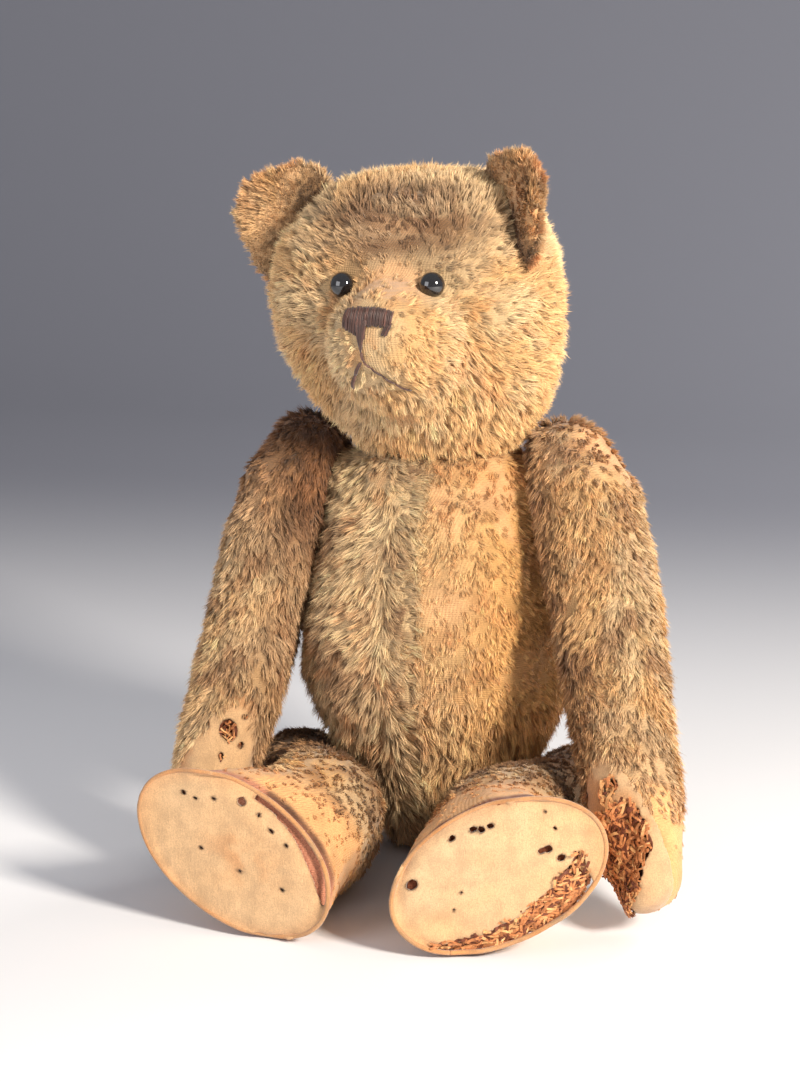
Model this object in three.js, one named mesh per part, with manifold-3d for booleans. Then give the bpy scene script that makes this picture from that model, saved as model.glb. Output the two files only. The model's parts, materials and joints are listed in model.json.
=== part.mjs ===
// An old jointed teddy bear, sitting: worn mohair plush packed with wood wool, felt paws and soles,
// boot-button eyes, a stitched nose and mouth, and a pinned pair of hardboard discs at each of its five
// joints. Millimetres, +Z up. The origin is the middle of the flat seat, the bear faces -Y, and its own
// left side is +X.
import * as THREE from "three";
import { mergeVertices } from "three/addons/utils/BufferGeometryUtils.js";
import Module from "manifold-3d";

const wasm = await Module();
wasm.setup();
const { degToRad } = THREE.MathUtils;
const vec = (x, y, z) => new THREE.Vector3(x, y, z);

// ---- driving dimensions ----
const CLOTH = 2; // plush backing and the roots of its pile
const FELT = 1.8;
const GAP = 0.3; // between pieces that touch
const NECK_Z = 222; // the plane between the body and the head
const HEAD_TURN = -10; // degrees that the head looks towards the bear's right
const HIP_FACE = 55; // from the middle of the bear to the face of each hip joint
const EYE_R = 6.6;
const DISC_T = 3;
const WASHER_R = 7;
const WASHER_T = 1.2;
const PIN_R = 1.8;
const SOLE = { halfLong: 56, halfWide: 35 };

// The limbs of each side: the bear's own right is at -X. lean is how far the face of its joint tips off
// upright, at is the joint's place along Y and Z, and swing is how far the arm hangs forward.
const ARMS = {
  right: { side: -1, lean: 10.5, at: [2, 198], swing: 23, length: 206, slim: 0.85 },
  left: { side: 1, lean: 16.5, at: [2, 198], swing: 31, length: 235, slim: 1 },
};
const LEGS = {
  right: { side: -1, lean: 0, at: [4, 32], reach: 160, out: 70, toe: 29, bend: 15 },
  left: { side: 1, lean: 0, at: [4, 32], reach: 166, out: 65, toe: 27, bend: 0 },
};

// ---- materials ----
const finish = (color, roughness, metalness = 0) =>
  new THREE.MeshStandardMaterial({ color, roughness, metalness });
const PLUSH = finish(0xb5935c, 0.9);
const FELT_CLOTH = finish(0xcdb48c, 0.95);
const WOOD_WOOL = finish(0xb0743c, 0.85);
const BOARD = finish(0x8a6a48, 0.8);
const STEEL = finish(0x8a8880, 0.4, 1);
const BUTTON = finish(0x0b0b0c, 0.1);
const THREAD = finish(0x3a2119, 0.7);

// ---- solids ----
function solidOf(geometry) {
  const bare = geometry.clone();
  bare.deleteAttribute("normal");
  bare.deleteAttribute("uv");
  const merged = mergeVertices(bare, 1e-3);
  const vertProperties = new Float32Array(merged.attributes.position.array);
  const triVerts = new Uint32Array(merged.index.array);
  return new wasm.Manifold(new wasm.Mesh({ numProp: 3, vertProperties, triVerts }));
}

function geometryOf(solid) {
  const { numProp, numVert, vertProperties, triVerts } = solid.getMesh();
  const corners = new Float32Array(numVert * 3);
  for (let i = 0; i < numVert; i++) {
    corners.set(vertProperties.subarray(i * numProp, i * numProp + 3), i * 3);
  }
  return new THREE.BufferGeometry()
    .setAttribute("position", new THREE.BufferAttribute(corners, 3))
    .setIndex(new THREE.BufferAttribute(new Uint32Array(triVerts), 1));
}

// The largest body of a solid, without the slivers that a cut leaves.
const main = (solid) => solid.decompose().reduce((a, b) => (a.volume() > b.volume() ? a : b));

const bear = new THREE.Group();
function add(name, solid, material) {
  const mesh = new THREE.Mesh(geometryOf(main(solid)), material);
  mesh.name = name;
  bear.add(mesh);
}

// A place with its own axes: right-handed, given by its third axis and a hint for its second one.
function frameAt(origin, third, hint) {
  const z = third.clone().normalize();
  const x = hint.clone().cross(z).normalize();
  const y = z.clone().cross(x);
  return new THREE.Matrix4().makeBasis(x, y, z).setPosition(origin);
}

// A cylinder along a frame's third axis, between two heights. squash gives an oval.
function post(frame, radius, low, high, sides = 14, squash = [1, 1]) {
  const shape = new THREE.CylinderGeometry(radius, radius, high - low, sides);
  shape.rotateX(Math.PI / 2).scale(squash[0], squash[1], 1).translate(0, 0, (low + high) / 2);
  return solidOf(shape.applyMatrix4(frame));
}

function ball(radius, at) {
  return solidOf(new THREE.SphereGeometry(radius, 12, 8).translate(at.x, at.y, at.z));
}

// All the space below a frame's own ground plane, big enough to cut any piece of the bear with.
const HUGE = 700;
function below(frame, height = 0) {
  const box = new THREE.BoxGeometry(HUGE, HUGE, HUGE).translate(0, 0, height - HUGE / 2);
  return solidOf(box.applyMatrix4(frame));
}

// A flat outline pushed along a frame's third axis. The outline is in the frame's first two axes.
function prism(frame, corners, low, high) {
  const shape = new THREE.Shape(corners.map(([x, y]) => new THREE.Vector2(x, y)));
  const solid = new THREE.ExtrudeGeometry(shape, { depth: high - low, bevelEnabled: false });
  return solidOf(solid.translate(0, 0, low).applyMatrix4(frame));
}

// ---- stuffed forms ----
// A closed form through oval sections. A station holds how far along the form it is (l), the middle of
// its section (u, v), its half sizes (ru, rv), how square its oval is (p, where 2 is an ellipse) and its
// roll in degrees. The first and last stations are the tips of the two domed ends. inset draws the
// whole form in, and place turns (u, v, l) into a point.
const PLAIN = { u: 0, v: 0, p: 2.2, roll: 0 };
const DOME = [0.45, 0.86]; // how far out from the last full section a dome's rings stand, as a share

function domeRings(full, tip) {
  return DOME.map((out) => {
    const size = Math.sqrt(1 - out ** 2);
    const [l, u, v] = ["l", "u", "v"].map((key) => full[key] + out * (tip[key] - full[key]));
    return { ...full, l, u, v, ru: full.ru * size, rv: full.rv * size };
  });
}

function stuffed(given, place, { sides = 14, inset = 0 } = {}) {
  const stations = given.map((station, i) => {
    const drawn = { ...PLAIN, ...station };
    drawn.l += ((i === 0) - (i === given.length - 1)) * inset;
    drawn.ru -= inset;
    drawn.rv -= inset;
    return drawn;
  });
  const [first, last] = [stations.shift(), stations.pop()];
  const start = domeRings(stations[0], first).reverse();
  const rings = [...start, ...stations, ...domeRings(stations.at(-1), last)];
  const points = [first, last].map(({ u, v, l }) => place(u, v, l));
  for (const { u, v, l, ru, rv, p, roll } of rings) {
    const [cr, sr] = [Math.cos(degToRad(roll)), Math.sin(degToRad(roll))];
    for (let k = 0; k < sides; k++) {
      const turn = (2 * Math.PI * k) / sides;
      const [c, s] = [Math.cos(turn), Math.sin(turn)];
      const a = ru * Math.sign(c) * Math.abs(c) ** (2 / p);
      const b = rv * Math.sign(s) * Math.abs(s) ** (2 / p);
      points.push(place(u + a * cr - b * sr, v + a * sr + b * cr, l));
    }
  }
  const corner = (row, k) => 2 + row * sides + (k % sides);
  const faces = [];
  for (let k = 0; k < sides; k++) {
    faces.push([0, corner(0, k + 1), corner(0, k)]);
    for (let row = 0; row < rings.length - 1; row++) {
      faces.push([corner(row, k), corner(row, k + 1), corner(row + 1, k + 1)]);
      faces.push([corner(row, k), corner(row + 1, k + 1), corner(row + 1, k)]);
    }
    faces.push([1, corner(rings.length - 1, k), corner(rings.length - 1, k + 1)]);
  }
  const geometry = new THREE.BufferGeometry().setFromPoints(points);
  const outward = solidOf(geometry.clone().setIndex(faces.flat())).volume() > 0;
  return solidOf(geometry.setIndex(faces.map(([x, y, z]) => (outward ? [x, y, z] : [x, z, y])).flat()));
}

// ---- body ----
const BODY = [
  { l: -9, v: 8 },
  { l: 8, v: 8, ru: 27, rv: 29 },
  { l: 32, v: 7, ru: 43, rv: 41 },
  { l: 60, v: 6, ru: 56, rv: 50 },
  { l: 92, v: 1, ru: 71, rv: 57 },
  { l: 125, v: -1, ru: 70, rv: 57 },
  { l: 160, v: 0, ru: 64, rv: 52 },
  { l: 190, v: 2, ru: 56, rv: 45 },
  { l: 212, v: 4, ru: 45, rv: 38 },
  { l: 227, v: 5 },
];
const bodyForm = (inset) => stuffed(BODY, (u, v, l) => vec(u, v, l), { sides: 20, inset });
const NECK_Y = 4;
const neck = frameAt(vec(0, NECK_Y, NECK_Z), vec(0, 0, 1), vec(0, 1, 0));
const floor = frameAt(vec(0, 0, 0), vec(0, 0, 1), vec(0, 1, 0));

// How far the body reaches along a direction, found on its stations.
function reachAlong(normal) {
  return Math.max(...BODY.slice(1, -1).map(({ l, v, ru, rv }) => {
    const round = Math.hypot(ru * normal.x, rv * normal.y);
    return round + l * normal.z + v * normal.y;
  }));
}

// The frame of a limb's joint. Its third axis is the pin, pointing out of the body, its second axis lies
// in the face of the joint and points up, and its ground plane just touches the body.
function jointFrame({ side, lean, at: [y, z] }) {
  const normal = vec(side * Math.cos(degToRad(lean)), 0, Math.sin(degToRad(lean)));
  const x = lean ? (reachAlong(normal) + 0.5 - z * normal.z) / normal.x : side * HIP_FACE;
  return frameAt(vec(x, y, z), normal, vec(0, 0, 1));
}

// ---- joints ----
// Both faces of a joint are drawn back from its plane by half of what keeps the two covers apart.
const FACE = 0.4;
const stack = { disc: FACE + CLOTH + GAP, washer: FACE + CLOTH + DISC_T + 2 * GAP };
stack.end = stack.washer + WASHER_T + GAP;
const pinHole = (frame) => post(frame, PIN_R + GAP, -25, 25, 8);

// The room that the stuffing leaves on one side of a joint for the disc, the washer and the pin's end.
function jointRoom(frame, radius, side) {
  const low = stack.disc - 2 * GAP;
  const high = stack.end + 3;
  const [from, to] = side > 0 ? [low, high] : [-high, -low];
  return post(frame, radius + 2 * GAP, from, to);
}

// Two hardboard discs, one in the body and one in the limb, a washer behind each and the pin that holds
// them together, with its ends turned over the washers.
function addJoint(name, frame, radius, limb) {
  const hole = pinHole(frame);
  for (const [owner, side] of [["body", -1], [limb, 1]]) {
    const plate = (r, start, thick) => {
      const ends = [side * start, side * (start + thick)].sort((a, b) => a - b);
      return post(frame, r, ...ends);
    };
    add(`${name}_${owner}_disc`, plate(radius, stack.disc, DISC_T).subtract(hole), BOARD);
    add(`${name}_${owner}_washer`, plate(WASHER_R, stack.washer, WASHER_T).subtract(hole), STEEL);
  }
  const shank = post(frame, PIN_R, -stack.end - 1, stack.end + 1, 8);
  const turned = [-1, 1].map((side) => {
    const ends = [side * stack.end, side * (stack.end + 2)].sort((a, b) => a - b);
    return post(frame, PIN_R * 2, ...ends, 8);
  });
  add(`${name}_pin`, shank.add(turned[0]).add(turned[1]), STEEL);
}

const NECK_DISC = 27;
const SHOULDER_DISC = 15;
const HIP_DISC = 12.5;
const joints = [{ name: "neck", limb: "head", frame: neck, radius: NECK_DISC }];
for (const [name, arm] of Object.entries(ARMS)) {
  arm.frame = jointFrame(arm);
  joints.push({ name: `${name}_shoulder`, limb: "arm", frame: arm.frame, radius: SHOULDER_DISC });
}
for (const [name, leg] of Object.entries(LEGS)) {
  leg.frame = jointFrame(leg);
  joints.push({ name: `${name}_hip`, limb: "leg", frame: leg.frame, radius: HIP_DISC });
}

// The body stands out to a flat face at each joint, as the disc inside pushes it.
function bodyWithFaces(inset) {
  let form = bodyForm(inset);
  for (const { frame, radius } of joints.slice(1)) {
    form = form.add(post(frame, radius + 4 - inset, -30, -FACE - inset));
  }
  return form.subtract(below(floor, inset)).intersect(below(neck, -FACE - inset));
}
const pinHoles = joints.map(({ frame }) => pinHole(frame)).reduce((a, b) => a.add(b));
add("body_cover", bodyWithFaces(0).subtract(bodyWithFaces(CLOTH)).subtract(pinHoles), PLUSH);
const bodyRooms = joints.map(({ frame, radius }) => jointRoom(frame, radius, -1)).reduce((a, b) => a.add(b));
add("body_stuffing", bodyWithFaces(CLOTH + GAP).subtract(bodyRooms), WOOD_WOOL);
joints.forEach(({ name, frame, radius, limb }) => addJoint(name, frame, radius, limb));

// ---- head ----
// The head's own frame stands on the neck and is turned. Its sections lie flat, and the muzzle's
// sections stand across the way it looks.
const HEAD = [
  { l: -8, u: -1 },
  { l: 6, ru: 46, rv: 42, u: -1, v: 2 },
  { l: 24, ru: 61, rv: 54, u: -5, v: 1 },
  { l: 50, ru: 73, rv: 61, u: -10 },
  { l: 78, ru: 77, rv: 63, u: -13 },
  { l: 104, ru: 72, rv: 59, u: -13, v: 2 },
  { l: 126, ru: 55, rv: 46, u: -10, v: 5 },
  { l: 141, u: -8, v: 6 },
];
const MUZZLE = [
  { l: 20, v: 62 },
  { l: 44, v: 60, ru: 37, rv: 37 },
  { l: 66, v: 61, ru: 33, rv: 33 },
  { l: 84, v: 65, ru: 25, rv: 25 },
  { l: 96, v: 70 },
];
const head = frameAt(vec(0, NECK_Y, NECK_Z), vec(0, 0, 1), vec(0, 1, 0));
head.multiply(new THREE.Matrix4().makeRotationZ(degToRad(HEAD_TURN)));
function headForm(inset, base = inset) {
  const skull = stuffed(HEAD, (u, v, l) => vec(u, v, l).applyMatrix4(head), { sides: 20, inset });
  const muzzle = stuffed(MUZZLE, (u, v, l) => vec(u, -l, v).applyMatrix4(head), { inset });
  return skull.add(muzzle).subtract(below(neck, FACE + base));
}
const headSkin = headForm(0);
const eyeFrame = (side) => {
  const spot = vec(side * 24 - 5, -58.5, 92).applyMatrix4(head);
  const ahead = vec(side * 0.3, -1, 0.12).transformDirection(head);
  return frameAt(spot, ahead, vec(0, 0, 1));
};
const EYES = { right: eyeFrame(-1), left: eyeFrame(1) };
const SHANK_R = 1.4;
const shankHoles = Object.values(EYES)
  .map((frame) => post(frame, SHANK_R + GAP, -14, 8, 8))
  .reduce((a, b) => a.add(b));
const headHoles = pinHole(neck).add(shankHoles);
add("head_cover", headSkin.subtract(headForm(CLOTH)).subtract(headHoles), PLUSH);
const headRoom = jointRoom(neck, NECK_DISC, 1).add(shankHoles);
add("head_stuffing", headForm(CLOTH + GAP).subtract(headRoom), WOOD_WOOL);
const clearOfHead = headForm(-GAP, 0);
for (const [name, frame] of Object.entries(EYES)) {
  const button = ball(EYE_R, vec(0, 0, 0).applyMatrix4(frame)).subtract(clearOfHead);
  add(`${name}_eye`, button.add(post(frame, SHANK_R, -12, 3, 8)), BUTTON);
}

// The nose and the mouth are thread laid on the muzzle: outlines seen from the front, in the head's
// own X and Z, cut out of a thin layer over the skin.
const THREAD_T = 1.4;
const face = head.clone().multiply(new THREE.Matrix4().makeRotationX(Math.PI / 2));
const threadLayer = headForm(-GAP - THREAD_T, 0).subtract(clearOfHead);
const NOSE = [[-13, 83], [-12, 77], [-4.5, 76], [-3.5, 61], [2, 61], [3, 75.5], [8, 75], [9, 70], [13, 71], [13.5, 83]];
const MOUTH = [[-2, 59.5], [-9.5, 49.5], [-8, 48.5], [-1, 57], [8, 50], [17.5, 44.5], [18.5, 46], [9, 52], [1, 59.5]];
add("nose_stitching", threadLayer.intersect(prism(face, NOSE, 50, 120)), THREAD);
add("mouth_stitching", threadLayer.intersect(prism(face, MOUTH, 50, 120)), THREAD);

// ---- ears ----
// A flat cupped half round of two layers, sewn to the head along its straight side. root is the middle
// of that side, and the frame's second axis runs along it, the first one away from the head.
const EAR = [
  { l: -33, u: 0 },
  { l: -24, u: 4, ru: 13, rv: 3.6, v: 1.5 },
  { l: -10, u: 11, ru: 21, rv: 4.2, v: -1.5 },
  { l: 8, u: 12, ru: 22, rv: 4.2, v: -1.5 },
  { l: 24, u: 5, ru: 14, rv: 3.6, v: 1.5 },
  { l: 33, u: 0 },
];
const EARS = {
  right: { root: vec(-80, -6, 111), out: vec(-0.9, -0.05, 0.4), look: vec(-0.3, -1, 0.1) },
  left: { root: vec(43, -9, 124), out: vec(0.45, -0.4, 0.75), look: vec(-0.6, -0.75, 0.1) },
};
for (const [name, { root, out, look }] of Object.entries(EARS)) {
  const outward = out.clone().transformDirection(head);
  const facing = look.clone().transformDirection(head);
  const rim = outward.clone().cross(facing).normalize();
  const front = rim.clone().cross(outward).normalize();
  const middle = root.clone().applyMatrix4(head);
  const place = (u, v, l) =>
    middle.clone().addScaledVector(outward, u).addScaledVector(front, v).addScaledVector(rim, l);
  add(`${name}_ear`, stuffed(EAR, place, { sides: 12 }).subtract(clearOfHead), PLUSH);
}

// ---- arms ----
// An arm hangs along -Y of its own frame, from above the shoulder to the tip of the paw. In its stations
// u is away from the body and v is forward, and l is stretched below the joint to the arm's own length.
const ARM = [
  { l: -33, u: 17 },
  { l: -16, u: 18, ru: 22, rv: 27 },
  { l: 8, u: 22, ru: 29, rv: 33 },
  { l: 50, u: 23, ru: 29.5, rv: 30 },
  { l: 100, u: 24, ru: 26.5, rv: 26.5 },
  { l: 150, u: 24, ru: 24, rv: 24.5, v: 1 },
  { l: 190, u: 24, ru: 22.5, rv: 23.5, v: 3 },
  { l: 214, u: 24, ru: 18, rv: 19, v: 5 },
  { l: 228, u: 24, v: 6 },
];
const PALM = { length: 74, depth: 25, slope: 0.34, inward: 0.5 };

function addArm(name, { side, frame, swing, length, slim }, tear) {
  const hanging = frame.clone().multiply(new THREE.Matrix4().makeRotationZ(degToRad(-side * swing)));
  const stretch = length / ARM.at(-1).l;
  const middle = ARM[2].u;
  const place = (u, v, l) => {
    const away = u > middle ? middle + (u - middle) * slim : u;
    return vec(-side * v, l > 0 ? -l * stretch : -l, away).applyMatrix4(hanging);
  };
  const form = (inset) => stuffed(ARM, place, { inset }).subtract(below(frame, FACE + inset));
  // The palm is a felt oval let into the front of the paw, on the side towards the body. It is what a
  // slanting plane cuts off: the plane starts under the skin at the wrist and reaches the middle at the tip.
  const wrist = vec(-side * PALM.depth, -length + PALM.length, middle).applyMatrix4(hanging);
  const ahead = vec(-side, -PALM.slope, -PALM.inward).transformDirection(hanging);
  const palm = frameAt(wrist, ahead, vec(0, 0, 1));
  const shell = form(0).subtract(form(CLOTH));
  const hole = post(frame, PIN_R + GAP, -5, 25, 8);
  add(`${name}_arm_cover`, shell.intersect(below(palm, -GAP)).subtract(hole), PLUSH);
  const room = jointRoom(frame, SHOULDER_DISC, 1);
  add(`${name}_arm_stuffing`, form(CLOTH + GAP).subtract(room), WOOD_WOOL);
  const felt = form(0).subtract(form(FELT)).subtract(below(palm));
  const at = palm.clone().multiply(new THREE.Matrix4().makeTranslation(tear.across, tear.down, 0));
  add(`${name}_paw_pad`, felt.subtract(post(at, 1, -60, 60, 16, tear.size)), FELT_CLOTH);
}
addArm("right", ARMS.right, { across: 2, down: -12, size: [3.5, 3.5] });
addArm("left", ARMS.left, { across: 13, down: -47, size: [14, 26] });

// ---- legs ----
// A leg runs forward along -Y, bends in past the belly and ends in a foot that is rolled outward. In its
// stations u is out from the middle of the bear, v is up, and the last ones belong to the foot.
const LEG = [
  { l: -34, u: 73, v: 33, bend: 0 },
  { l: -20, u: 76, v: 32, ru: 23, rv: 22, bend: 0 },
  { l: 0, u: 77, v: 32, ru: 26, rv: 28, bend: 0 },
  { l: 30, u: 74.5, v: 33, ru: 26.5, rv: 29, turn: 0.2, bend: 0.5 },
  { l: 58, u: 65.5, v: 36, ru: 28.5, rv: 32, turn: 0.4, bend: 1 },
  { l: 90, u: 59.5, v: 39, ru: 34.5, rv: 37, turn: 0.6, bend: 1 },
  { l: 122, u: 60.5, v: 40, ru: 36.5, rv: 36.5, turn: 0.8, bend: 0.8 },
  { l: 146, u: 65, v: 42, ru: 47, rv: 36, turn: 1, bend: 0.2 },
  { l: 162, u: 70, v: 42.5, ru: SOLE.halfLong, rv: SOLE.halfWide, turn: 1, bend: 0 },
  { l: 190, u: 74, v: 42.5, turn: 1, bend: 0 },
];
const BOARD_T = 1.5;
const THIGH = { behind: 30, round: 85 }; // the disc of the thigh's flat face, set back from the pin

function addLeg(name, { side, frame, reach, out, toe, bend }, { insole, torn }) {
  const stretch = reach / LEG.at(-2).l;
  const shift = out - LEG.at(-2).u;
  const place = (u, v, l) => vec(side * (u + (shift * Math.max(l, 0)) / reach), -l * stretch, v);
  const stations = LEG.map((station) => {
    return { ...station, u: station.u - bend * station.bend, roll: toe * (station.turn ?? 0) };
  });
  const back = frame.clone().premultiply(new THREE.Matrix4().makeTranslation(0, THIGH.behind, 0));
  const joint = (inset) => post(back, THIGH.round + inset, -90, FACE + inset, 24);
  const form = (inset) => stuffed(stations, place, { inset }).subtract(joint(inset));
  const ahead = vec(side * 0.17, -0.985, 0);
  const toes = vec(side * Math.cos(degToRad(toe)), 0, Math.sin(degToRad(toe)));
  const sole = frameAt(vec(side * out, -reach, 42.5), ahead, ahead.clone().cross(toes));
  const hole = post(frame, PIN_R + GAP, -5, 25, 8);
  const behindSole = -FELT - GAP;
  const behindBoard = behindSole - BOARD_T - GAP;
  const shell = form(0).subtract(form(CLOTH));
  add(`${name}_leg_cover`, shell.intersect(below(sole, behindSole)).subtract(hole), PLUSH);
  const room = jointRoom(frame, HIP_DISC, 1);
  add(`${name}_leg_stuffing`, form(CLOTH + GAP).intersect(below(sole, behindBoard)).subtract(room), WOOD_WOOL);
  const board = post(sole, 1, behindSole - BOARD_T, behindSole, 24, insole);
  add(`${name}_foot_insole`, board.intersect(form(CLOTH + GAP)), BOARD);
  const middle = sole.clone().multiply(new THREE.Matrix4().makeTranslation(torn.along, torn.across, 0));
  const kept = post(middle, 1, -FELT, 0, 32, [SOLE.halfLong + 6, SOLE.halfWide]);
  add(`${name}_foot_sole`, kept.intersect(form(0)), FELT_CLOTH);
}
addLeg("right", LEGS.right, { insole: [48, 31], torn: { along: 7, across: 7 } });
addLeg("left", LEGS.left, { insole: [42, 23], torn: { along: 0, across: 8 } });

export default bear;
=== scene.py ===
import itertools
import json
import math

import bmesh
import bpy
import numpy as np
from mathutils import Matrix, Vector
from mathutils.bvhtree import BVHTree
from mathutils.kdtree import KDTree


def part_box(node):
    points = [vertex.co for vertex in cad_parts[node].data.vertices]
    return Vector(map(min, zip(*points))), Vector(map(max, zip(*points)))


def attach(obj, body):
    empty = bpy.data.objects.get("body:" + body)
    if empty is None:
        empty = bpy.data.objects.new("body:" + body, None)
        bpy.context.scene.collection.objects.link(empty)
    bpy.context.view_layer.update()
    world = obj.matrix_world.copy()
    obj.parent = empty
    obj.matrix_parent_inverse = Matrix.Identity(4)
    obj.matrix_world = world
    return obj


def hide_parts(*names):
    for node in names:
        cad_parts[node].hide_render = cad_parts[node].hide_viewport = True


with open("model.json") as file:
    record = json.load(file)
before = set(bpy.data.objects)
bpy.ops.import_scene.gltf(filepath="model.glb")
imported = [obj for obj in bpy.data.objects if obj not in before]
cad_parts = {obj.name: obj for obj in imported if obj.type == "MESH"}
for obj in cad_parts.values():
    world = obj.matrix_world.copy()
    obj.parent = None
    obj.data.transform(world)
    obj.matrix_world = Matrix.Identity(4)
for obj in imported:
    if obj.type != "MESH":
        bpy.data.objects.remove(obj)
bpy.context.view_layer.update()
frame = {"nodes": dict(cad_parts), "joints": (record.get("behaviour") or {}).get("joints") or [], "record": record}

# ---- the sewn forms ----
# The head, the body and each limb is a closed skin of mohair cloth, sewn from panels inside out, turned
# and packed hard with wood wool. Each form here is the outside of its packed skin, taken off the solids
# of its cover and filling and then softened, because cloth over packing has no facets.
MM = 0.001
scene = bpy.context.scene
bodies = frame["record"]["behaviour"]["bodies"]
hinge_of = {joint["child"]: np.array(joint["pos_m"]) for joint in frame["joints"]}
PACKED = ("_cover", "_stuffing", "_pad", "_sole", "_insole", "_disc", "_washer")
FORM_GRID = {"body": 2.9 * MM, "head": 2.6 * MM}
LIMB_GRID = 2.1 * MM
SOFTENING = {"body": 14, "head": 14}
LIMB_SOFTENING = 16


def own(name, mesh):
    piece = bpy.data.objects.new(name, mesh)
    scene.collection.objects.link(piece)
    return piece


def smooth(mesh):
    mesh.polygons.foreach_set("use_smooth", np.ones(len(mesh.polygons), bool))
    return mesh


def mesh_of(name, shape):
    """A new smooth mesh of a bmesh, which is freed."""
    mesh = bpy.data.meshes.new(name)
    shape.to_mesh(mesh)
    shape.free()
    return smooth(mesh)


def settle(piece):
    """The piece's modifiers become its mesh."""
    graph = bpy.context.evaluated_depsgraph_get()
    mesh = bpy.data.meshes.new_from_object(piece.evaluated_get(graph))
    piece.modifiers.clear()
    piece.data = mesh
    return piece


def largest_shell(mesh):
    """Only the biggest connected surface of a mesh stays."""
    shape = bmesh.new()
    shape.from_mesh(mesh)
    left = set(shape.verts)
    shells = []
    while left:
        edge = [left.pop()]
        shell = list(edge)
        while edge:
            near = {e.other_vert(v) for v in edge for e in v.link_edges} & left
            left -= near
            edge = list(near)
            shell += edge
        shells.append(shell)
    biggest = max(shells, key=len)
    spare = set(shape.verts) - set(biggest)
    bmesh.ops.delete(shape, geom=list(spare), context="VERTS")
    shape.to_mesh(mesh)
    shape.free()


def form_of(name, nodes, grid, softening):
    solid = bmesh.new()
    for node in nodes:
        solid.from_mesh(frame["nodes"][node].data)
    bmesh.ops.remove_doubles(solid, verts=solid.verts, dist=0.01 * MM)
    piece = own(name, mesh_of(name, solid))
    skin = piece.modifiers.new("skin", "REMESH")
    skin.mode = "VOXEL"
    skin.voxel_size = grid
    soft = piece.modifiers.new("soft", "SMOOTH")
    soft.factor = 0.5
    soft.iterations = softening
    settle(piece)
    largest_shell(piece.data)
    smooth(piece.data)
    return piece


def points_of(mesh):
    points = np.zeros(len(mesh.vertices) * 3, np.float32)
    mesh.vertices.foreach_get("co", points)
    return points.reshape(-1, 3).astype(float)


def normals_of(mesh):
    normals = np.zeros(len(mesh.vertices) * 3, np.float32)
    mesh.vertex_normals.foreach_get("vector", normals)
    return normals.reshape(-1, 3).astype(float)


def put_points(mesh, points):
    mesh.vertices.foreach_set("co", points.astype(np.float32).ravel())
    mesh.update()


HASH_PRIMES = np.array([73856093, 19349663, 83492791])
HASH_SEED = 2654435
HASH_STIR = 1274126177


def cloud(points, size, seed, octaves=3):
    """Soft random values from 0 to 1 over space, in blobs of about the given size."""
    total = np.zeros(len(points))
    weight = 0
    for octave in range(octaves):
        place = points * 2**octave / size + seed * 17.13
        cell = np.floor(place).astype(np.int64)
        part = place - cell
        part = part * part * (3 - 2 * part)
        value = np.zeros(len(points))
        for corner in itertools.product((0, 1), repeat=3):
            at = cell + corner
            mixed = np.bitwise_xor.reduce(at * HASH_PRIMES, axis=1) ^ (seed + octave) * HASH_SEED
            mixed = (mixed ^ (mixed >> 13)) * HASH_STIR & 0x7FFFFFFF
            mixed = (mixed ^ (mixed >> 11)) & 0xFFFF
            value += np.prod(np.where(corner, part, 1 - part), axis=1) * mixed / 0xFFFF
        total += value / 2**octave
        weight += 1 / 2**octave
    return total / weight


def ease(low, high, values):
    """0 below low, 1 above high and smooth between them."""
    share = np.clip((values - low) / (high - low), 0, 1)
    return share * share * (3 - 2 * share)


def patches(points, size, seed, low, high):
    """Soft-edged patches over about the given size in mm, from 0 to 1."""
    return ease(low, high, cloud(points, size * MM, seed))


forms = {}
trees = {}
for body, nodes in bodies.items():
    packed = [node for node in nodes if node.endswith(PACKED)]
    grid = FORM_GRID.get(body, LIMB_GRID)
    forms[body] = form_of(body + "_skin", packed, grid, SOFTENING.get(body, LIMB_SOFTENING))
    trees[body] = BVHTree.FromObject(forms[body], bpy.context.evaluated_depsgraph_get())


MOST_ROOM = 12 * MM


def room_at(points, body, reach=MOST_ROOM):
    """How far each point is from the other sewn forms, up to a reach."""
    others = [tree for other, tree in trees.items() if other != body]
    free = np.full(len(points), reach)
    for i, point in enumerate(points):
        for tree in others:
            found = tree.find_nearest(point, free[i])
            if found[0] is not None:
                free[i] = found[3]
    return free


# ---- cloth and pile ----
# Mohair plush is a woven cotton ground with a pile of goat hair. The pile here is a lock at a time: each
# lock is a few narrow leaves of hair, rooted close together in the ground, laid the way the nap runs and
# drawn together at their tips. Where the pile has worn away, the tan ground shows.
def paint(red, green, blue):
    """A colour given as the eye reads it, as the linear light that a shader takes."""
    shares = np.array([red, green, blue]) / 255
    return ((shares + 0.055) / 1.055) ** 2.4


STRAW = paint(226, 193, 145)
GOLD = paint(224, 168, 100)
DUST = paint(194, 158, 120)
UMBER = paint(142, 94, 58)
DEEP_BROWN = paint(96, 68, 46)
RUST = paint(216, 146, 86)
GROUND = paint(214, 164, 116)
LINING = paint(186, 124, 96)
PEEL = paint(222, 168, 112)
WORN_BROW = 0.6 * GROUND + 0.4 * DUST
BARE_HEAD = 0.65 * GROUND + 0.35 * DUST
# Painted light on each hair: its root is painted darker as the shade deep in the pile, and its tip lighter as the
# light that catches it.
ROOT_PAINTED_SHADE = 0.52
TIP_PAINTED_LIGHT = 1.3


def mix(a, b, share):
    share = np.asarray(share)[:, None]
    return a * (1 - share) + b * share


def whole(value, points):
    """One colour or direction for all the points."""
    return np.tile(value, (len(points), 1))


def tint(mesh, colours):
    """Each vertex's own colour, which the materials read as the tone."""
    attribute = mesh.color_attributes.new("tone", "FLOAT_COLOR", "POINT")
    full = np.ones((len(colours), 4), np.float32)
    full[:, :3] = np.clip(colours, 0, 1)
    attribute.data.foreach_set("color", full.ravel())


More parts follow.
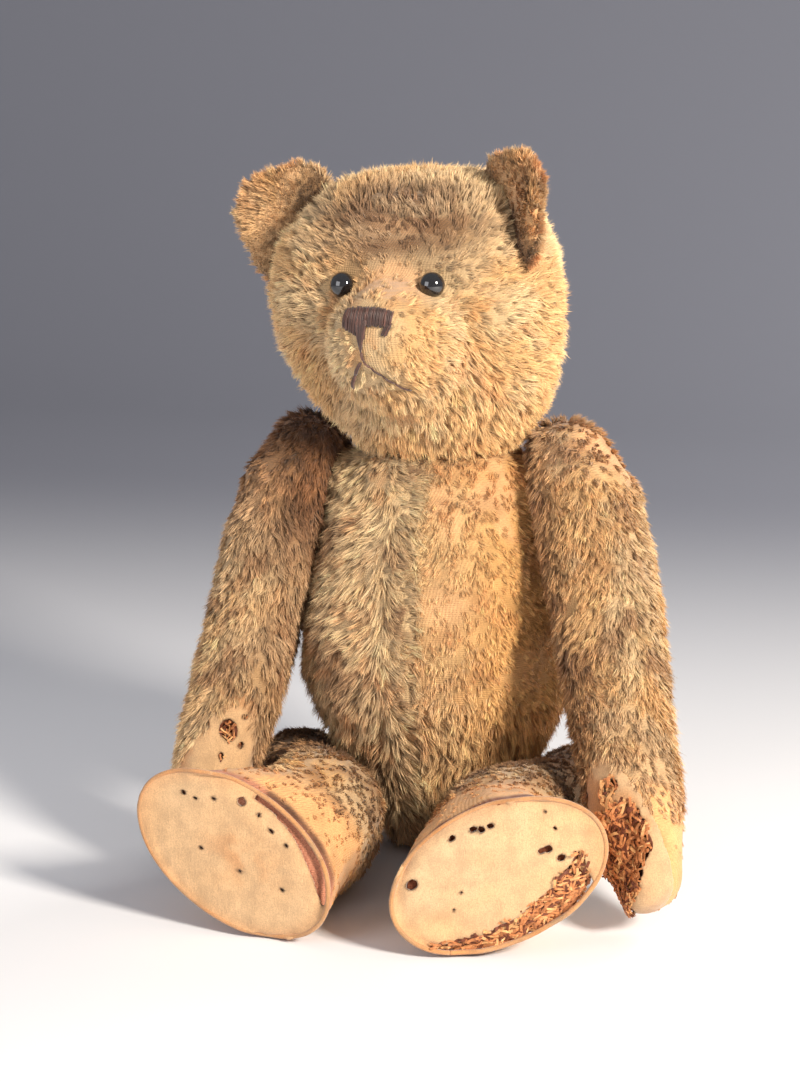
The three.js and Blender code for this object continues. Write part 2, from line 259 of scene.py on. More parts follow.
def unit(vectors):
    return vectors / np.maximum(np.linalg.norm(vectors, axis=-1, keepdims=True), 1e-12)


def node_group(name, inputs, outputs):
    group = bpy.data.node_groups.new(name, "ShaderNodeTree")
    for socket, kind, value in inputs:
        made = group.interface.new_socket(name=socket, in_out="INPUT", socket_type=kind)
        if value is not None:
            made.default_value = value
    for socket, kind in outputs:
        group.interface.new_socket(name=socket, in_out="OUTPUT", socket_type=kind)
    return group, group.nodes.new("NodeGroupInput"), group.nodes.new("NodeGroupOutput")


def node(tree, kind, sockets=None, **settings):
    """A new shader node with its settings. sockets gives each of its inputs a plain value, or another
    node's output to read."""
    made = tree.nodes.new("ShaderNode" + kind)
    for setting, value in settings.items():
        setattr(made, setting, value)
    for socket, value in (sockets or {}).items():
        if isinstance(value, bpy.types.NodeSocket):
            tree.links.new(value, made.inputs[socket])
        else:
            made.inputs[socket].default_value = value
    return made


# Mottle: a colour made lighter and darker in soft blotches and in fine grain.
mottle, given, result = node_group(
    "mottle",
    [("Color", "NodeSocketColor", None), ("Blotch", "NodeSocketFloat", 60.0),
     ("Grain", "NodeSocketFloat", 900.0), ("Depth", "NodeSocketFloat", 0.3)],
    [("Color", "NodeSocketColor")],
)
place = node(mottle, "TexCoord").outputs["Object"]
depth = given.outputs["Depth"]
blotch = node(mottle, "TexNoise", {"Vector": place, "Scale": given.outputs["Blotch"], "Detail": 4})
grain = node(mottle, "TexNoise", {"Vector": place, "Scale": given.outputs["Grain"], "Detail": 2})
both = node(mottle, "Math", {0: blotch.outputs[0], 1: grain.outputs[0]}, operation="MULTIPLY")
spread = node(mottle, "MapRange", {"Value": both.outputs[0], "From Min": 0.14, "From Max": 0.36})
low_end = node(mottle, "Math", {0: 1.08, 1: depth}, operation="SUBTRACT")
light = node(
    mottle, "Math", {0: spread.outputs[0], 1: depth, 2: low_end.outputs[0]}, operation="MULTIPLY_ADD"
)
shade = node(
    mottle, "VectorMath", {0: given.outputs["Color"], "Scale": light.outputs[0]}, operation="SCALE"
)
mottle.links.new(shade.outputs[0], result.inputs["Color"])

# Weave: threads over and under each other, as a height.
weave, given, result = node_group(
    "weave", [("Threads", "NodeSocketFloat", 260.0)], [("Height", "NodeSocketFloat")]
)
place = node(weave, "TexCoord").outputs["Object"]
thread_sets = {}
for i, turn in enumerate(((0, 0, math.radians(45)), (0, math.radians(90), 0))):
    turned = node(weave, "Mapping", {"Vector": place, "Rotation": turn})
    bands = {"Vector": turned.outputs[0], "Scale": given.outputs["Threads"], "Distortion": 1.5, "Detail": 1}
    thread_sets[i] = node(weave, "TexWave", bands).outputs["Fac"]
crossing = node(weave, "Math", thread_sets, operation="ADD")
weave.links.new(crossing.outputs[0], result.inputs["Height"])

# Fibre: a fine tangle of short fibres, as a height.
fibre, given, result = node_group(
    "fibre", [("Scale", "NodeSocketFloat", 700.0)], [("Height", "NodeSocketFloat")]
)
place = node(fibre, "TexCoord").outputs["Object"]
stretched = node(fibre, "Mapping", {"Vector": place, "Scale": (1, 1, 0.3), "Rotation": (0.4, 0.5, 0)})
tangle = {"Vector": stretched.outputs[0], "Scale": given.outputs["Scale"], "Detail": 6}
tangle = node(fibre, "TexNoise", {**tangle, "Roughness": 0.65, "Distortion": 0.8})
fibre.links.new(tangle.outputs[0], result.inputs["Height"])


def material(name, roughness, **extra):
    """A new material and its Principled shader, whose plain numbers are set here."""
    made = bpy.data.materials.new(name)
    made.use_nodes = True
    shader = made.node_tree.nodes["Principled BSDF"]
    shader.inputs["Roughness"].default_value = roughness
    for socket, value in extra.items():
        shader.inputs[socket.replace("_", " ")].default_value = value
    return made, shader


def use(made, group, **sockets):
    """A node group in a material."""
    return node(made.node_tree, "Group", sockets, node_tree=group)


def raise_by(made, shader, source, depth, strength):
    """Bumps a material by a height."""
    bump = node(made.node_tree, "Bump", {"Height": source, "Distance": depth, "Strength": strength})
    made.node_tree.links.new(bump.outputs[0], shader.inputs["Normal"])


def coloured(name, roughness, spots, colour=None, **extra):
    """A material that mottles one colour, or without one the piece's own tone. spots holds the mottle's
    blotch, grain and depth."""
    made, shader = material(name, roughness, **extra)
    if colour is None:
        colour = node(made.node_tree, "Attribute", attribute_name="tone").outputs["Color"]
    else:
        colour = (*colour, 1)
    mottled = use(made, mottle, Color=colour, Blotch=spots[0], Grain=spots[1], Depth=spots[2])
    made.node_tree.links.new(mottled.outputs["Color"], shader.inputs["Base Color"])
    return made, shader


ground_cloth, shader = coloured(
    "ground_cloth", 0.9, (90, 1500, 0.35), Sheen_Weight=0.15, Specular_IOR_Level=0.2
)
threads = use(ground_cloth, weave, Threads=280)
raise_by(ground_cloth, shader, threads.outputs["Height"], 0.25 * MM, 0.7)
pile, _ = coloured("pile", 0.55, (70, 1200, 0.22), Sheen_Weight=0.2, Specular_IOR_Level=0.35)

HAIRS_PER_LOCK = 18
LOCK_SPREAD = 1.7 * MM
HAIR_WIDTH = 0.7 * MM
GATHER = 0.55  # how far a lock's tips draw together
ROOT_DEPTH = 0.5 * MM
FLOOR_GAP = 0.3 * MM


def grow(name, skin, body, hairs, seed, nap, length, amount, tone, rise=0.42):
    """A coat of hair on a skin. nap gives the way it lies, length how long it is, amount how much of it
    is left from 0 to 1 and tone its colour, each as a function of points on the skin."""
    random = np.random.default_rng(seed)
    mesh = skin.data
    mesh.calc_loop_triangles()
    points, normals = points_of(mesh), normals_of(mesh)
    faces = np.zeros(len(mesh.loop_triangles) * 3, np.int32)
    mesh.loop_triangles.foreach_get("vertices", faces)
    faces = faces.reshape(-1, 3)
    a, b, c = (points[faces[:, k]] for k in range(3))
    weight = np.linalg.norm(np.cross(b - a, c - a), axis=1)
    weight = weight * np.clip(amount((a + b + c) / 3), 0, 1)
    locks = hairs // HAIRS_PER_LOCK
    chosen = random.choice(len(faces), locks, p=weight / weight.sum())
    shares = random.dirichlet((1, 1, 1), locks)
    middle = sum(shares[:, k : k + 1] * points[faces[chosen, k]] for k in range(3))
    up = unit(sum(shares[:, k : k + 1] * normals[faces[chosen, k]] for k in range(3)))
    along = nap(middle)
    along = unit(along - up * (along * up).sum(1, keepdims=True))
    swirl = (cloud(middle, 22 * MM, seed + 1) - 0.5) * 2.2 + random.normal(0, 0.28, locks)
    across = np.cross(up, along)
    along = along * np.cos(swirl)[:, None] + across * np.sin(swirl)[:, None]
    reach = length(middle) * random.uniform(0.7, 1.25, locks)
    reach = np.minimum(reach, 1.5 * MM + 0.8 * room_at(middle, body))
    tones = tone(middle) * random.normal(1, 0.12, locks)[:, None]

    def each(values):
        return np.repeat(values, HAIRS_PER_LOCK, axis=0)

    count = locks * HAIRS_PER_LOCK
    middle, up, along, tones, reach = (each(v) for v in (middle, up, along, tones, reach))
    across = np.cross(up, along)
    reach = reach * random.uniform(0.75, 1.15, count)
    angle = random.uniform(0, 2 * math.pi, count)
    out = LOCK_SPREAD * np.sqrt(random.uniform(0, 1, count))
    aside = across * (out * np.cos(angle))[:, None] + along * (out * np.sin(angle))[:, None]
    raised = np.clip(rise + random.normal(0, 0.12, count), 0.05, 1.2)
    root = middle + aside - up * ROOT_DEPTH
    ahead = along * np.cos(raised)[:, None] + up * np.sin(raised)[:, None]
    stray = across * random.normal(0, 0.1, count)[:, None]
    tip = middle + aside * (1 - GATHER) + (ahead + stray) * reach[:, None]
    twist = random.normal(0, 0.8, count)
    side = unit(np.cross(tip - root, up))
    over = unit(np.cross(side, tip - root))
    leaf = side * np.cos(twist)[:, None] + over * np.sin(twist)[:, None]
    half = leaf * (HAIR_WIDTH * random.uniform(0.35, 0.65, count))[:, None]
    corners = np.stack([root + half, tip, root - half], axis=1).reshape(-1, 3)
    corners[:, 2] = np.maximum(corners[:, 2], FLOOR_GAP)
    # Painted shade at each hair's two root corners and painted light at its tip.
    shades = np.array([ROOT_PAINTED_SHADE, TIP_PAINTED_LIGHT, ROOT_PAINTED_SHADE])[None, :, None]
    tints = (tones * random.normal(1, 0.1, count)[:, None])[:, None, :] * shades
    coat = bpy.data.meshes.new(name)
    coat.vertices.add(3 * count)
    coat.vertices.foreach_set("co", corners.astype(np.float32).ravel())
    coat.loops.add(3 * count)
    coat.loops.foreach_set("vertex_index", np.arange(3 * count, dtype=np.int32))
    coat.polygons.add(count)
    coat.polygons.foreach_set("loop_start", np.arange(0, 3 * count, 3, dtype=np.int32))
    coat.update(calc_edges=True)
    tint(coat, tints.reshape(-1, 3))
    rows = math.ceil(math.sqrt(count))
    cell = np.stack([np.arange(count) % rows, np.arange(count) // rows], axis=1)[:, None, :]
    spot = (cell + np.array([[0.1, 0.1], [0.5, 0.9], [0.9, 0.1]])) / rows
    layer = coat.uv_layers.new(name="OFBake")
    layer.data.foreach_set("uv", spot.astype(np.float32).ravel())
    return seat(own(name, coat), body, "plush", pile)


def seat(piece, body, slot, look, *nodes):
    """Gives a piece its material and the body it rides, and hides the nodes that it replaces; slot is not used."""
    piece.data.materials.clear()
    piece.data.materials.append(look)
    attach(piece, body)
    if nodes:
        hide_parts(*nodes)
    return piece


def dress(piece, body, slot, look, tone, *nodes):
    """Seats a piece and tints it by tone, which is a function of points on it."""
    tint(piece.data, tone(points_of(piece.data)))
    return seat(piece, body, slot, look, *nodes)


def finish_skin(body, tone, *nodes):
    return dress(forms[body], body, "plush", ground_cloth, tone, *nodes)


# ---- body ----
# A tall round bag of plush, closed by a seam down the middle of the chest. The nap of its own right half
# is still long and ruffled, and the left half is rubbed short and golden, down to the ground in places.
SEAM_X = -2 * MM


def body_lumps():
    skin = forms["body"]
    points, normals = points_of(skin.data), normals_of(skin.data)
    front = ease(0, -25 * MM, points[:, 1])
    still = np.ones(len(points))
    for joint in frame["joints"]:
        gap = np.linalg.norm(points - np.array(joint["pos_m"]), axis=1)
        still *= ease(24 * MM, 44 * MM, gap)
    still *= ease(3 * MM, 16 * MM, points[:, 2])
    lumps = (cloud(points, 38 * MM, 3) - 0.5) * 5 * MM
    seam = np.exp(-(((points[:, 0] - SEAM_X) / (2.5 * MM)) ** 2)) * 2 * MM * np.abs(normals[:, 1])
    dents = ease(0.56, 0.7, cloud(points, 30 * MM, 8, 2)) * 2.5 * MM * front
    put_points(skin.data, points + normals * ((lumps - dents) * still - seam * still)[:, None])


def body_wear(points):
    x, y, z = points.T
    front = ease(10 * MM, -20 * MM, y)
    left = ease(SEAM_X - 2 * MM, SEAM_X + 5 * MM, x)
    rubbed = patches(points, 26, 21, 0.46, 0.62) * left * ease(70 * MM, 130 * MM, z)
    patch = np.exp(-(((x - 14 * MM) / (20 * MM)) ** 2 + ((z - 146 * MM) / (16 * MM)) ** 2))
    return np.clip((rubbed * 0.5 + patch * left * 0.6) * front, 0, 1)


def body_tone(points):
    x, y, _ = points.T
    front = ease(15 * MM, -15 * MM, y)
    left = ease(SEAM_X - 3 * MM, SEAM_X + 5 * MM, x)
    tone = mix(STRAW, DUST, 0.45 * cloud(points, 40 * MM, 5))
    tone = mix(tone, GOLD, left * (0.45 + 0.5 * ease(10 * MM, 50 * MM, x)))
    tone = mix(tone, UMBER, 0.6 * patches(points, 15, 6, 0.53, 0.7) * (1 - 0.6 * left))
    seam = np.exp(-(((x - SEAM_X + 3 * MM) / (4 * MM)) ** 2)) * front
    tone = mix(tone, STRAW * 1.1, 0.7 * seam)
    tone = mix(tone, DUST, 0.7 * (1 - front) * cloud(points, 60 * MM, 7))
    tone = mix(tone, RUST, 0.35 * patches(points, 12, 9, 0.55, 0.7))
    return mix(tone, GROUND, 0.7 * body_wear(points))


def body_length(points):
    x, y, z = points.T
    left = ease(SEAM_X - 2 * MM, SEAM_X + 4 * MM, x) * ease(0, -20 * MM, y)
    low = ease(110 * MM, 70 * MM, z)
    return (9.2 - 4.6 * left * (1 - 0.8 * low) - 2.4 * body_wear(points)) * MM


def body_nap(points):
    x, y, _ = points.T
    side = x - SEAM_X
    along = np.stack([side * 6, np.zeros(len(x)), np.full(len(x), -1.0)], axis=1)
    over = np.exp(-(((side + 7 * MM) / (8 * MM)) ** 2)) * ease(0, -30 * MM, y)
    along[:, 0] += 1.3 * over
    along[:, 2] += 0.9 * over
    return along


body_lumps()


def body_ground(points):
    # Painted shade: under the pile the ground takes the hair's tone darkened to 0.75, for the shade beneath the
    # hair; where it is bare it shows its own tan.
    return mix(body_tone(points) * 0.75, GROUND, ease(0.25, 0.75, body_wear(points)))


def body_amount(points):
    return (1 - 0.8 * body_wear(points)) * ease(-2 * MM, 4 * MM, points[:, 2])


finish_skin("body", body_ground, "body_cover", "body_stuffing")
grow("body_pile", forms["body"], "body", 150000, 11, body_nap, body_length, body_amount, body_tone)

# ---- head ----
# The head is sewn from two side panels and a gusset over the muzzle. Its brow is matted and grimy in
# streaks, the bridge between the eyes is rubbed down to the ground, and the cheeks keep a thick coat.
neck = hinge_of["head"]


def centre_of(node):
    low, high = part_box(node)
    return np.array((low + high) / 2)


level = np.array([1, 1, 0])
across_face = unit(unit(centre_of("left_eye") - centre_of("right_eye")) * level)
up_face = np.array([0, 0, 1.0])
ahead_face = np.cross(across_face, up_face)
face_axes = np.stack([across_face, ahead_face, up_face])
MUZZLE_TIP = np.array([-1, 96, 70]) * MM


def on_face(points):
    """Points in the head's own axes: to its left, ahead and up from the neck."""
    return (points - neck) @ face_axes.T


def blot(values, middle, reach):
    """A soft spot round a place in the head's or a limb's own axes, from 1 in the middle to 0."""
    return np.exp(-(((values - np.array(middle) * MM) / (np.array(reach) * MM)) ** 2).sum(1))


def head_wear(points):
    place = on_face(points)
    ragged = 0.6 + 0.8 * cloud(points, 9 * MM, 31)
    bare = blot(place, (-3, 62, 92), (16, 28, 10)) + 0.8 * blot(place, (10, 66, 84), (12, 20, 8))
    bare = bare + 0.5 * blot(place, (-5, 52, 118), (30, 30, 13))
    return np.clip(bare * ragged, 0, 1)


def head_tone(points):
    place = on_face(points)
    _, ahead, z = place.T
    squeezed = points * np.array([0.35, 0.6, 1.6])
    streaks = patches(squeezed, 11, 33, 0.48, 0.62)
    brow = blot(place, (-5, 48, 122), (44, 34, 20))
    tone = mix(STRAW, DUST, 0.3 * cloud(points, 30 * MM, 34))
    tone = mix(tone, GOLD, 0.55 * patches(points, 24, 35, 0.42, 0.66))
    tone = mix(tone, RUST, 0.4 * patches(points, 9, 36, 0.56, 0.72) * ease(100 * MM, 80 * MM, z))
    tone = mix(tone, DUST * 0.66, np.clip(brow * 1.15, 0, 0.85))
    tone = mix(tone, UMBER * 0.62, np.clip(brow * streaks, 0, 0.8))
    for spot in ((-16, 58, 108), (20, 56, 112)):
        tone = mix(tone, UMBER * 0.6, 0.85 * blot(place, spot, (13, 20, 5)))
    tone = mix(tone, UMBER, 0.6 * ease(-5 * MM, -60 * MM, ahead) * cloud(points, 35 * MM, 37))
    # Painted shade: a duller, darker spot low on the head's right cheek beside the muzzle, where the muzzle's
    # shadow falls.
    tone = mix(tone, DUST, 0.5 * blot(place, (-30, 40, 55), (16, 30, 40)))
    return mix(tone, whole(WORN_BROW, points), 0.6 * head_wear(points) * (1 - 0.6 * np.clip(brow, 0, 1)))


def head_length(points):
    place = on_face(points)
    muzzle = blot(place, (0, 90, 66), (26, 30, 24)) * 1.25
    short = np.clip(muzzle + blot(place, (-5, 52, 108), (42, 30, 28)), 0, 1)
    return (7.8 - 5.2 * short - 0.9 * head_wear(points)) * MM


def head_nap(points):
    place = on_face(points) - MUZZLE_TIP
    away = unit(place)
    away[:, 2] = away[:, 2] - 0.25
    return away @ face_axes


def head_lumps():
    skin = forms["head"]
    points, normals = points_of(skin.data), normals_of(skin.data)
    place = on_face(points)
    still = ease(4 * MM, 18 * MM, place[:, 2])
    lumps = (cloud(points, 34 * MM, 41) - 0.5) * 3.5 * MM
    sockets = (blot(place, (-30, 60, 89.6), (9, 14, 9)) + blot(place, (19, 60, 92), (9, 14, 9))) * 1.6 * MM
    put_points(skin.data, points + normals * ((lumps - sockets) * still)[:, None])


head_lumps()


def head_ground(points):
    # Painted shade: under the pile the ground takes the hair's tone darkened to 0.75, for the shade beneath the
    # hair; where it is bare it shows its own colour.
    return mix(head_tone(points) * 0.75, whole(BARE_HEAD, points), ease(0.3, 0.7, head_wear(points)))


finish_skin("head", head_ground, "head_cover", "head_stuffing")
NOSE_SPOT = ((-2, 90, 78), (14, 20, 7))
STEM_SPOT = ((-5, 95, 68), (4, 20, 9))
MOUTH_LINE = (
    (-4, 60), (-2, 56), (2, 53), (6, 50), (10, 47), (14, 43.5),
    (-6, 55), (-8, 52), (-9.5, 49), (-11, 46), (-13, 42.5),
)


def head_amount(points):
    place = on_face(points)
    nose = np.clip(blot(place, *NOSE_SPOT) * 1.5 + blot(place, *STEM_SPOT) * 1.5, 0, 1)
    eyes = blot(place, (-30, 64, 89.6), (8.5, 20, 8.5)) + blot(place, (19, 64, 92), (8.5, 20, 8.5))
    lips = sum(blot(place, (x, 90, z + 1.5), (2.6, 30, 3)) for x, z in MOUTH_LINE)
    worn = 1 - 0.8 * head_wear(points)
    return worn * (1 - nose) * (1 - np.clip(1.3 * eyes, 0, 1)) * (1 - np.clip(lips, 0, 0.93))


grow("head_pile", forms["head"], "head", 152000, 12, head_nap, head_length, head_amount, head_tone, rise=0.5)

# ---- eyes ----
# Old boot buttons: black domes on wire shanks that are pulled through the face and tied at the back.
EYE_RADIUS = 6.6 * MM
BUTTON_BLACK = (0.012, 0.011, 0.012)
eye_black, _ = coloured(
    "eye_black", 0.06, (300, 2500, 0.5), BUTTON_BLACK, Coat_Weight=1.0, Coat_Roughness=0.03
)


def turned_solid(name, profile, origin, axis, sides=48):
    """A turned piece: its profile is given as (radius, height) pairs from the tip of one end to the other."""
    shape = bmesh.new()
    axis = Vector(axis).normalized()
    across = axis.orthogonal().normalized()
    upward = axis.cross(across)
    rings = []
    for radius, height in profile:
        ring = []
        for k in range(sides if radius > 0 else 1):
            turn = 2 * math.pi * k / sides
            spoke = across * math.cos(turn) + upward * math.sin(turn)
            ring.append(shape.verts.new(Vector(origin) + spoke * radius + axis * height))
        rings.append(ring)
    for lower, upper in zip(rings, rings[1:]):
        for k in range(sides):
            around = [lower[j % len(lower)] for j in (k, k + 1)]
            around += [upper[j % len(upper)] for j in (k + 1, k)]
            shape.faces.new(list(dict.fromkeys(around)))
    bmesh.ops.recalc_face_normals(shape, faces=shape.faces)
    return own(name, mesh_of(name, shape))


DOME = [(math.sin(t), math.cos(t)) for t in np.linspace(0, math.radians(100), 14)]
for side, name, place in ((-1, "right", (-30, 59.3, 89.6)), (1, "left", (19, 59.3, 92))):
    spot = neck + (np.array(place) * MM) @ face_axes
    look = np.array([side * 0.3, 1, 0.12]) @ face_axes
    dome = [(EYE_RADIUS * r, EYE_RADIUS * h * 0.92) for r, h in DOME]
    shank = [(1.4 * MM, -3 * MM), (1.4 * MM, -12 * MM), (0, -12 * MM)]
    button = turned_solid(f"{name}_button_eye", dome + shank, spot, look)
    seat(button, "head", "button", eye_black, f"{name}_eye")

# ---- nose and mouth ----
# Dark brown embroidery floss. The nose is a bar of upright satin stitches with a stem below it and a
# loose end at its left, and the mouth is one long stitch with a short worn one beside it.
THREAD_RADIUS = 0.5 * MM
THREAD_SIDES = 6
floss, _ = coloured("floss", 0.5, (200, 3000, 0.45), Sheen_Weight=0.3)
head_tree = BVHTree.FromObject(forms["head"], bpy.context.evaluated_depsgraph_get())
FLOSS_BROWN = paint(84, 50, 38)


def on_muzzle(across, up, lift):
    """A point over the muzzle, given as the head's own left and up in millimetres."""
    start = neck + (np.array([across, 200, up]) * MM) @ face_axes
    hit, normal, _, _ = head_tree.ray_cast(Vector(start), Vector(-ahead_face))
    return np.array(hit) + np.array(normal) * lift


def tube(shape, path, radius, sides=THREAD_SIDES, taper=0.6):
    """A closed round thread along a path of points."""
    path = np.array(path)
    heads = unit(np.gradient(path, axis=0))
    hint = np.array([0.3, 0.2, 1.0])
    rings = []
    for i, (point, ahead) in enumerate(zip(path, heads)):
        across = unit(np.cross(hint, ahead))
        over = np.cross(ahead, across)
        size = radius * (taper if i in (0, len(path) - 1) else 1)
        turns = [2 * math.pi * k / sides for k in range(sides)]
        spokes = [(across * math.cos(t) + over * math.sin(t)) * size for t in turns]
        rings.append([shape.verts.new(point + spoke) for spoke in spokes])
    for lower, upper in zip(rings, rings[1:]):
        for k in range(sides):
            j = (k + 1) % sides
            shape.faces.new([lower[k], lower[j], upper[j], upper[k]])
    shape.faces.new(rings[0][::-1])
    shape.faces.new(rings[-1])


def stitches(name, strokes, seed, replaced):
    random = np.random.default_rng(seed)
    shape = bmesh.new()
    shades = []
    steps = 6
    for (x0, z0), (x1, z1), lift in strokes:
        path = []
        for k in range(steps):
            share = k / (steps - 1)
            crown = math.sin(math.pi * share)
            height = (lift * (0.5 + 0.5 * crown) + 0.1) * MM
            path.append(on_muzzle(x0 + (x1 - x0) * share, z0 + (z1 - z0) * share, height))
        tube(shape, path, THREAD_RADIUS * random.uniform(0.8, 1.1))
        shades += [random.uniform(0.45, 1.5)] * (THREAD_SIDES * steps)
    bmesh.ops.recalc_face_normals(shape, faces=shape.faces)
    mesh = mesh_of(name, shape)
    tint(mesh, FLOSS_BROWN * np.array(shades)[:, None])
    return seat(own(name, mesh), "head", "thread", floss, replaced)


def nose_strokes():
    random = np.random.default_rng(50)
    strokes = []
    for layer, lift in ((0, 0.9), (1, 1.6)):
        for x in np.arange(-14, 11.5, 0.8):
            top = 84.3 - 0.014 * (x + 1) ** 2 + random.uniform(-0.5, 0.5)
            foot = 75.2 if x > -2 else 73 - 0.4 * (x + 14)
            foot += random.uniform(-0.5, 0.4)
            strokes.append(((x + layer * 0.4, top), (x + random.uniform(-0.4, 0.4), foot), lift))
    for x in np.arange(-7, -0.5, 0.7):
        strokes.append(((x, 80), (-4.3 + (x + 3.8) * 0.3, 61 + abs(x + 3.8) * 1.6), 1.8))
    for x in (8, 8.8, 9.6, 10.4):
        strokes.append(((x + 0.8, 77), (x - 1.6, 70 + random.uniform(0, 1.5)), 1.0))
    return strokes


stitches("nose_floss", nose_strokes(), 51, "nose_stitching")


def mouth_strokes():
    strokes = []
    long_side = [(-4.3, 62.5), (-3.7, 58), (0, 54.8), (5, 51), (10, 47), (15, 42.5)]
    for shift, lift in ((0, 1.2), (0.6, 1.3), (0.3, 1.6)):
        for start, end in zip(long_side, long_side[1:]):
            strokes.append(((start[0] + shift, start[1] - shift), (end[0] + shift, end[1] - shift), lift))
    for shift in (0, 0.6, 1.1):
        strokes.append(((-5.4 + shift, 57), (-9.4 + shift, 50), 2))
        strokes.append(((-9.4 + shift, 50), (-13.4 + shift, 42), 2.6))
    return strokes


stitches("mouth_floss", mouth_strokes(), 52, "mouth_stitching")

# ---- ears ----
# Each ear is two rounds of plush sewn together inside out, turned and stitched to the head along its cut
# edge. The right one stands out and shows its short-piled inside, and the left one is folded forward.
EAR_GRID = 1.6 * MM


def make_ear(name, seed):
    skin = form_of(f"{name}_ear_skin", [f"{name}_ear"], EAR_GRID, 5)
    points = points_of(skin.data)
    middle = points.mean(0)
    _, _, axes = np.linalg.svd(points - middle, full_matrices=False)
    flat = axes[2] if axes[2] @ ahead_face > 0 else -axes[2]
    outward = unit(middle - (neck + np.array([0, 0, 70 * MM])))
    outward = unit(outward - flat * (outward @ flat))
    rim_line = np.percentile((points - middle) @ outward, 80)

    def inside(points):
        return ease(-0.2 * MM, 1.2 * MM, (points - middle) @ flat)

    def near_root(points):
        return ease(2 * MM, -12 * MM, (points - middle) @ outward)

    def ear_tone(points):
        tone = mix(STRAW, DUST, cloud(points, 14 * MM, seed))
        tone = mix(tone, RUST, 0.6 * patches(points, 12, seed + 1, 0.42, 0.6))
        tone = mix(tone, mix(GOLD, DUST, cloud(points, 10 * MM, seed + 2)), 0.7 * inside(points))
        # Painted shade: the inside of the ear near its root is darkened with deep brown, for the shade in the
        # ear's hollow.
        return mix(tone, DEEP_BROWN, 0.75 * inside(points) * near_root(points))

    def ear_length(points):
        edge = ease(rim_line * 0.3, rim_line, (points - middle) @ outward)
        return (5.5 - 3.6 * inside(points) * (1 - edge)) * MM

    def ear_nap(points):
        return (points - middle) + outward * 20 * MM

    def ear_amount(points):
        return 1 - 0.55 * inside(points)

    def ear_ground(points):
        # Painted shade: under the pile the ground takes the hair's tone darkened to 0.85, for the shade beneath
        # the hair.
        return mix(ear_tone(points) * 0.85, GROUND, 0.4 * inside(points) * (1 - near_root(points)))

    dress(skin, "head", "plush", ground_cloth, ear_ground, f"{name}_ear")
    grow(f"{name}_ear_pile", skin, "head", 26000, seed, ear_nap, ear_length, ear_amount, ear_tone, rise=0.6)


make_ear("right", 61)
make_ear("left", 63)

# ---- felt, wood wool ----
# The paws and the soles are pads of wool felt. Moths have eaten small round holes in them, and where the
# felt has torn the filling shows: wood wool, long thin shavings pressed into a springy tangle.
FELT_T = 1.5 * MM
SHAVING_T = 0.25 * MM
STRIDE = 1.7 * MM  # between two bends of a shaving
STRAY = 2.2 * MM  # how far a shaving may leave its hole
RIM_ROUNDS = 3  # smoothing rounds of a torn edge
FELT = paint(212, 170, 124)
FELT_GREY = paint(206, 172, 132)
FELT_STAIN = paint(196, 136, 86)
FELT_EDGE = paint(120, 90, 62)
felt, shader = coloured("felt", 0.95, (110, 1500, 0.3), Sheen_Weight=0.35, Specular_IOR_Level=0.15)
fuzz = use(felt, fibre, Scale=900)
raise_by(felt, shader, fuzz.outputs["Height"], 0.5 * MM, 0.8)

shavings, shader = coloured("shavings", 0.6, (250, 2200, 0.4), Specular_IOR_Level=0.4)
streak = use(shavings, fibre, Scale=1400)
raise_by(shavings, shader, streak.outputs["Height"], 0.2 * MM, 0.6)
SHAVING = paint(206, 132, 80)
SHAVING_PALE = paint(232, 172, 112)
SHAVING_DARK = paint(112, 58, 34)


def tangle_of(name, body, starts, ups, leads, seed, count, long=(14, 34), wide=(0.6, 1.5), loose=1.0):
    """A nest of flat shavings. Each one starts at a random one of the places given, sets off along that
    place's lead and wanders over the surface, and it ends where the places given end."""
    random = np.random.default_rng(seed)
    points, faces, tones = [], [], []
    nearby = KDTree(len(starts))
    for i, start in enumerate(starts):
        nearby.insert(start, i)
    nearby.balance()
    for _ in range(count):
        pick = random.integers(len(starts))
        heading = unit(leads[pick] * random.choice((-1, 1)) + random.normal(0, 0.5 * loose, 3))
        steps = int(random.uniform(*long) * MM / STRIDE)
        width = random.uniform(*wide) * MM
        height = random.uniform(-1.6, 1.0) * MM
        here = starts[pick]
        base = SHAVING * random.uniform(0.75, 1.1)
        dice = random.uniform()
        if dice > 0.8:
            base = SHAVING_PALE * random.uniform(0.8, 1.05)
        if dice < 0.25:
            base = SHAVING_DARK
        curl = random.normal(0, 0.3 * loose, 3)
        first = len(points)
        for step in range(steps):
            found, i, gap = nearby.find(here)
            if gap > STRAY:
                break
            up = ups[i]
            here = here - up * ((here - np.array(found)) @ up)
            side = unit(np.cross(heading, up) + random.normal(0, 0.12, 3))
            lifted = here + up * (height + 0.5 * MM * math.sin(step * 1.1))
            lifted[2] = max(lifted[2], 3 * FLOOR_GAP)
            points.append(lifted - side * width / 2)
            points.append(lifted + side * width / 2)
            tones += [base * random.uniform(0.85, 1.1)] * 2
            heading = unit(heading + curl * 0.4 + random.normal(0, 0.16 * loose, 3))
            heading = unit(heading - up * (heading @ up))
            here = here + heading * STRIDE
        for k in range(first, len(points) - 3, 2):
            faces.append((k, k + 1, k + 3, k + 2))
    mesh = bpy.data.meshes.new(name)
    mesh.from_pydata([tuple(p) for p in points], [], faces)
    tint(mesh, np.array(tones))
    piece = own(name, mesh)
    thick = piece.modifiers.new("thick", "SOLIDIFY")
    thick.thickness = SHAVING_T
    return seat(settle(piece), body, "wood_wool", shavings)


def sink(skin, depth):
    """Presses a skin in along its normals by a depth at each vertex."""
    mesh = skin.data
    put_points(mesh, points_of(mesh) - normals_of(mesh) * depth[:, None])


